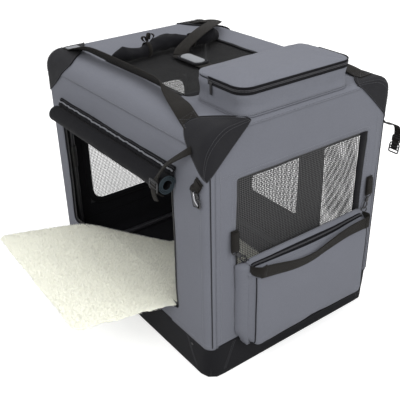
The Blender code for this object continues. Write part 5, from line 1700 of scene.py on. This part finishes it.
def make_mat(sizes):
    """Fleece mat drawn out through the door: a padded body and its pile."""
    lift, far = 0.0004, MAT["length"]
    ends = [0.0, 0.0008, 0.003, 0.006, 0.011, 0.017]
    rows = ends + [0.022 + (far - 0.044) * i / 100 for i in range(101)] + [far - reach for reach in ends[::-1]]
    rings = []
    for v in rows:
        crown = 0.32 + 0.68 * ease(min(v, far - v) / 0.02)
        top, low = [], []
        for j in range(97):
            share = -1 + 2 * j / 96
            u = math.sin(math.pi / 2 * share) * 0.25 + 0.75 * share
            spot = mat_spot(v, u)
            puff = 0.0035 + 0.007 * crown * math.sqrt(max(0.0, 1 - abs(u) ** 14))
            lumps = 0.0009 * wave(spot, 0.05, 1.0) + 0.0007 * wave(spot, 0.02, 2.0)
            base = mat_under(spot.y) + lift
            low.append((spot.x, spot.y, base))
            top.append((spot.x, spot.y, base + puff + lumps * crown))
        rings.append(low + top[::-1])
    mat = piece("fleece_pad", skin(rings), "fleece")
    puffed(mat, 0.0055, 0.004, lambda p: 1.0 if p.z < mat_under(p.y) + 0.004 else 0.0)
    for vert in mat.data.vertices:
        p, base = vert.co, mat_under(vert.co.y) + lift
        rise = p.z - base
        p.z = base + max(0.0, rise) + 0.0006 * wave(p, 0.011, 4.0) * ease(rise / 0.006)
    faces = [tuple(poly.vertices) for poly in mat.data.polygons if poly.normal.z > -0.35]
    coat = new_mesh([vert.co.copy() for vert in mat.data.vertices], faces)
    pile = grow("fleece_pile", coat, pile_tree(), "fleece", Density=sizes.pile_density, Length=sizes.pile)
    for vert in pile.data.vertices:
        vert.co.z = max(vert.co.z, mat_under(vert.co.y) + 0.0006)
    settle(mat, "fleece", "mat", 0.75, "fleece_mat")
    settle(pile, "fleece", "mat", 0.75)


def make_door_tie(sizes):
    """The strap that ties the rolled door: down the wall and round the roll, with its buckle and its tail."""
    seat = ROLL_R + 0.0006 + HALF_WEB
    y_top = -HALF_W - 0.0027 - 0.0012 - HALF_WEB
    x_top, x_low = FLAT_L - TIE_W, ROLL_ENDS[1] - TIE_W / 2
    rise, reach = SHOULDER_Z - ROLL_Z, y_top - ROLL_Y
    touch = math.atan2(rise, reach) + math.acos(seat / math.hypot(rise, reach))
    y_touch, z_touch = ROLL_Y + seat * math.cos(touch), ROLL_Z + seat * math.sin(touch)
    knots = [(x_top, y_top, SHOULDER_Z)]
    for share in (0.5, 0.8, 0.95):
        x = x_top + (x_low - x_top) * share * (2 - share)
        knots.append((x, y_top + (y_touch - y_top) * share, SHOULDER_Z + (z_touch - SHOULDER_Z) * share))
    knots += [(x_low, y, z) for y, z in arc((ROLL_Y, ROLL_Z), seat, math.degrees(touch), 250, 9)]
    path = smooth_path(knots, 3)
    across = [(1, -0.75 * math.sin(math.pi * min(1.0, k / 9)), 0) for k in range(len(path))]
    tie = ribbon("door_strap", path, across, TIE_W * 0.86, sizes.web, "webbing")
    y, z = ROLL_Y - seat - 0.0022, ROLL_Z + 0.005
    hang = ((0, 0.001, 0.004), (0.001, -0.0015, -0.01), (0.003, -0.001, -0.022), (0.006, 0.001, -0.032))
    tail = smooth_path([(x_low + right, y + out, z + up) for right, out, up in hang], 6)
    loose = ribbon("door_strap_tail", tail, [(1, 0, 0.1)] * len(tail), TIE_W * 0.92, sizes.web, "webbing")
    buckle = ladder_buckle((x_low, y, z), (-1, 0, 0.12), (0.12, 0, 1), 0.026, 0.02)
    on_wall("webbing", 0.1, tie, node="door_tie")
    on_wall("webbing", 0.1, loose)
    on_wall("plastic", 0.1, joined("door_strap_buckle", buckle, "plastic"))


def make_rear_tie(sizes):
    """The loose strap at the back, with its two buckles."""
    hang = (
        (0, -0.5), (0.03, 0.3), (0.4, 1.1), (1.4, 1.9), (2.8, 2.4), (3.9, 3.1), (4.2, 4.2), (4, 5.3),
        (3.8, 6.2),
    )
    x, y = HALF_L - 0.024, HALF_W + 0.0006 + HALF_WEB
    path = smooth_path([(x, y + TIE_W * out, 0.497 - TIE_W * down) for out, down in hang], 6)
    rear = ribbon("rear_strap", path, [(1, 0, 0)] * len(path), TIE_W, sizes.web, "webbing")
    y, z = path[-1].yz
    buckles = ladder_buckle((x, y + 0.001, z + 0.002), (1, 0, 0), (0, 0.15, 1), 0.026, 0.022)
    buckles += ladder_buckle((x, y + 0.006, z + 0.024), (1, 0, 0), (0, 0.1, 1), 0.022, 0.014)
    on_wall("webbing", 0.1, rear, node="rear_tie")
    on_wall("plastic", 0.1, joined("rear_strap_buckle", buckles, "plastic"))


def make_bag_clips(sizes):
    """The two tabs and snap hooks that hold the bag by its eyes."""
    x = BAG_BACK
    for side, tab_y, top, low, end_y, end_z in (
        ("left", -0.186, 0.366, 0.318, -0.158, 0.284),
        ("right", 0.212, 0.358, 0.312, 0.2, 0.279),
    ):
        loop = web_loop((x, tab_y, top), (x, tab_y, low), (1, 0, 0), 0.018, (0, 1, 0))
        middle, end = Vector((x + 0.0042, tab_y, low - 0.001)), Vector((x + 0.005, end_y, end_z))
        hook = snap_hook(middle + (end - middle).normalized() * 0.004, end, (1, 0, 0))
        hook.append(ring_of(middle, (0, 1, 0), 0.0085, 0.0012, 0.6))
        eye = ring_of(end - Vector((0, 0, 0.003)), (0.3, 1, 0), 0.007, 0.0012)
        on_wall("webbing", 0.1, piece(f"bag_tab_{side}", loop, "webbing"))
        on_wall("plastic", 0.1, joined(f"bag_hook_{side}", hook, "plastic"), node=f"bag_clip_{side}")
        on_bag("plastic", piece(f"bag_eye_{side}", eye, "plastic"))


def make_edge_clip(sizes):
    """The clip with its grey flag on the near edge."""
    y = -HALF_W - 0.0008
    loop = web_loop((0.3125, y, 0.4905), (0.3, y, 0.4675), (0, -1, 0), 0.021, (1, 0, 0.5))
    hook = snap_hook((0.3035, y - 0.005, 0.4645), (0.3125, y - 0.0045, 0.4335), (0, 1, 0), 1.15)
    hook.append(ring_of((0.2995, y - 0.004, 0.4665), (1, 0, 0.35), 0.0095, 0.0014, 0.5))
    # A pale metal wire laid along the front of the dark hook: a painted highlight
    highlight_line = (
        (0.3015, 0.0085, 0.4655), (0.3055, 0.0105, 0.4585), (0.3085, 0.0105, 0.4505), (0.3125, 0.0065, 0.4395),
    )
    shine = wire([(x, y - out, z) for x, out, z in highlight_line], 0.0013)
    lean = math.radians(14)
    profile = []
    for inset, w in ((0.0012, 0.0), (0.0, 0.0005), (0.0, 0.0014), (0.0012, 0.0019)):
        ring = []
        for u, v in rounded((-0.009 + inset, -0.0165 + inset), (0.009 - inset, 0.0165 - inset), 0.002, 3):
            x, z = u * math.cos(lean) - v * math.sin(lean), u * math.sin(lean) + v * math.cos(lean)
            ring.append((0.2975 + x, y - 0.0012 - w, 0.4475 + z))
        profile.append(ring)
    binding = wire(profile[2], 0.0009, closed=True, steps=2)
    on_wall("webbing", 0.1, piece("edge_tab", loop, "webbing"))
    on_wall("plastic", 0.1, joined("edge_hook", hook, "plastic"), piece("edge_hook_highlight", shine, "bright"))
    on_wall("grey_fabric", 0.1, piece("edge_flag", skin(profile), "flag"), node="edge_clip")
    on_wall("black_fabric", 0.1, piece("edge_flag_binding", binding, "lining"))


# Finishes of the frame's own parts, by the start of their names
CAD_FINISHES = {
    "tube": ("base_rail", "lower_post", "end_hoop", "roof_rail"),
    "plastic": ("corner_block", "lower_knuckle", "upper_knuckle", "roof_saddle", "pouch_zip_pull"),
}


def finish_frame():
    """Paints the frame's own parts."""
    for name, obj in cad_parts.items():
        for finish, starts in CAD_FINISHES.items():
            if name.startswith(starts):
                obj.data.materials.clear()
                obj.data.materials.append(FINISHES[finish])


def seen_by(tree, *rays):
    """Factor that is 1 for two kinds of ray."""
    path = add_node(tree, "ShaderNodeLightPath")
    return maths(tree, "MAXIMUM", *(path.outputs[f"Is {ray} Ray"] for ray in rays))


def make_floor():
    """Pale floor that looks brighter to the camera than to the object."""
    corners = raised([(-6, -6), (6, -6), (6, 6), (-6, 6)], -0.0005)
    floor = new_object("studio_floor", new_mesh(corners, [(0, 1, 2, 3)]))
    material = bpy.data.materials.new("Studio floor")
    material.use_nodes = True
    tree = material.node_tree
    paint = tree.nodes["Principled BSDF"]
    feed(tree, paint, {"Base Color": (0.72, 0.72, 0.72, 1), "Roughness": 0.9, "Specular IOR Level": 0.0})
    glow = add_node(tree, "ShaderNodeEmission", {"Strength": 0.6})
    both = add_node(tree, "ShaderNodeAddShader", {0: paint, 1: glow})
    lit = add_node(tree, "ShaderNodeMixShader", {0: seen_by(tree, "Camera", "Glossy"), 1: paint, 2: both})
    feed(tree, tree.nodes["Material Output"], {"Surface": lit})
    floor.data.materials.append(material)
    floor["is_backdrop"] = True


def make_surround():
    """White surround, dimmer as a light than to the camera."""
    scene = bpy.context.scene
    scene.world = scene.world or bpy.data.worlds.new("Studio")
    scene.world.use_nodes = True
    tree = scene.world.node_tree
    tree.nodes.clear()
    lights = {0: seen_by(tree, "Camera", "Transmission")}
    for place, power in ((1, 0.74), (2, 1.0)):
        lights[place] = add_node(tree, "ShaderNodeBackground", {"Color": (1, 1, 1, 1), "Strength": power})
    add_node(tree, "ShaderNodeOutputWorld", {"Surface": add_node(tree, "ShaderNodeMixShader", lights)})


def make_lamps():
    for name, place, size, power in (
        ("key_lamp", (1.2, -2.2, 2.6), 1.8, 35),
        ("side_lamp", (2.6, 0.9, 1.7), 1.6, 27),
        ("top_lamp", (-0.4, 0.4, 2.9), 2.0, 24),
    ):
        lamp = bpy.data.lights.new(name, "AREA")
        lamp.shape, lamp.size, lamp.energy = "SQUARE", size, power
        obj = new_object(name, lamp)
        obj.location = place
        obj.rotation_euler = (Vector((0, 0, 0.25)) - Vector(place)).to_track_quat("-Z", "Y").to_euler()


# The camera that was fitted to the photograph: focal length in pixels, place in metres, turns in degrees
PHOTO_FOCUS, PHOTO_WIDTH = 660.6, 400
CAMERA_PLACE = (1.185, -0.890, 1.057)
CAMERA_YAW, CAMERA_PITCH, CAMERA_ROLL = 53.94, 29.30, -1.34


def make_camera():
    camera = bpy.data.cameras.new("crate_camera")
    camera.sensor_width = 36.0
    camera.lens = camera.sensor_width * PHOTO_FOCUS / PHOTO_WIDTH
    camera.clip_start = 0.05
    obj = new_object("crate_camera", camera)
    yaw, pitch, roll = (math.radians(turn) for turn in (CAMERA_YAW, CAMERA_PITCH, CAMERA_ROLL))
    ahead = Vector((-math.sin(yaw) * math.cos(pitch), math.cos(yaw) * math.cos(pitch), -math.sin(pitch)))
    right = Vector((math.cos(yaw), math.sin(yaw), 0))
    up = right.cross(ahead)
    side = right * math.cos(roll) + up * math.sin(roll)
    top = up * math.cos(roll) - right * math.sin(roll)
    turn = Matrix((side, top, -ahead)).transposed().to_4x4()
    obj.matrix_world = Matrix.Translation(CAMERA_PLACE) @ turn
    bpy.context.scene.camera = obj
    bpy.context.scene.view_settings.view_transform = "Standard"


class Step:
    """What the operators share: each one runs its makers with the scene's sizes."""

    def execute(self, context):
        for make in self.makers:
            make(context.scene.crate_sizes)
        return {"FINISHED"}


class CRATE_OT_finishes(bpy.types.Operator):
    """Build the cloth, webbing, fleece, plastic and steel materials and paint the frame"""

    bl_idname = "crate.finishes"
    bl_label = "Finishes"

    def execute(self, context):
        make_finishes(context.scene.crate_colours)
        finish_frame()
        return {"FINISHED"}


class CRATE_OT_cover(Step, bpy.types.Operator):
    """Lay the four walls, the roof and the tray of the cover"""

    bl_idname = "crate.cover"
    bl_label = "Cover"
    makers = (make_walls, make_roof, make_tray)


class CRATE_OT_nets(Step, bpy.types.Operator):
    """Knit the nets of the windows and the roof"""

    bl_idname = "crate.nets"
    bl_label = "Nets"
    makers = (make_nets,)


class CRATE_OT_seams(Step, bpy.types.Operator):
    """Sew the seams, tapes and zips of the cover"""

    bl_idname = "crate.seams"
    bl_label = "Seams and zips"
    makers = (make_seams, make_roof_seams)


class CRATE_OT_patches(Step, bpy.types.Operator):
    """Sew the four corner patches"""

    bl_idname = "crate.patches"
    bl_label = "Corner patches"
    makers = (make_patches,)


class CRATE_OT_door(Step, bpy.types.Operator):
    """Roll up the door and tie it"""

    bl_idname = "crate.door"
    bl_label = "Rolled door"
    makers = (make_door, make_door_zip, make_door_tie, make_rear_tie)


class CRATE_OT_roof_top(Step, bpy.types.Operator):
    """Add the rolled flap, the handles and the pouch on the roof"""

    bl_idname = "crate.roof_top"
    bl_label = "Roof flap, handles and pouch"
    makers = (make_flap, make_flap_tie, make_handles, make_grip, make_pouch, make_pouch_zip)


class CRATE_OT_bag(Step, bpy.types.Operator):
    """Hang the bag on the end panel by its snap hooks, and the clip on the near edge"""

    bl_idname = "crate.bag"
    bl_label = "End bag and hooks"
    makers = (make_bag, make_bag_seams, make_sling, make_bag_clips, make_edge_clip)


class CRATE_OT_mat(Step, bpy.types.Operator):
    """Lay the fleece mat over the sill"""

    bl_idname = "crate.mat"
    bl_label = "Fleece mat"
    makers = (make_mat,)


class CRATE_OT_studio(bpy.types.Operator):
    """Set the floor, the lamps and the camera"""

    bl_idname = "crate.studio"
    bl_label = "Studio"

    def execute(self, context):
        for make in (make_floor, make_surround, make_lamps, make_camera):
            make()
        return {"FINISHED"}


OPERATORS = (
    CRATE_OT_finishes,
    CRATE_OT_cover,
    CRATE_OT_nets,
    CRATE_OT_seams,
    CRATE_OT_patches,
    CRATE_OT_door,
    CRATE_OT_roof_top,
    CRATE_OT_bag,
    CRATE_OT_mat,
    CRATE_OT_studio,
)


class CRATE_PT_outfit(bpy.types.Panel):
    """Steps and settings of the crate's outfit"""

    bl_label = "Soft Crate Outfit"
    bl_space_type = "VIEW_3D"
    bl_region_type = "UI"
    bl_category = "Crate"

    def draw(self, context):
        for operator in OPERATORS:
            self.layout.operator(operator.bl_idname)
        for group in (context.scene.crate_sizes, context.scene.crate_colours):
            for name in group.__annotations__:
                self.layout.prop(group, name)


CLASSES = (CrateSizes, CrateColours, *OPERATORS, CRATE_PT_outfit)


def register():
    for cls in CLASSES:
        bpy.utils.register_class(cls)
    bpy.types.Scene.crate_sizes = PointerProperty(type=CrateSizes)
    bpy.types.Scene.crate_colours = PointerProperty(type=CrateColours)


def unregister():
    del bpy.types.Scene.crate_colours
    del bpy.types.Scene.crate_sizes
    for cls in reversed(CLASSES):
        bpy.utils.unregister_class(cls)


def main():
    register()
    for operator in OPERATORS:
        family, step = operator.bl_idname.split(".")
        getattr(getattr(bpy.ops, family), step)()
    boxes = {"cad": CAD_BOX, "visual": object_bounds()}
    {key: [[float(c) for c in corner] for corner in box] for key, box in boxes.items()}


if __name__ == "__main__":
    main()
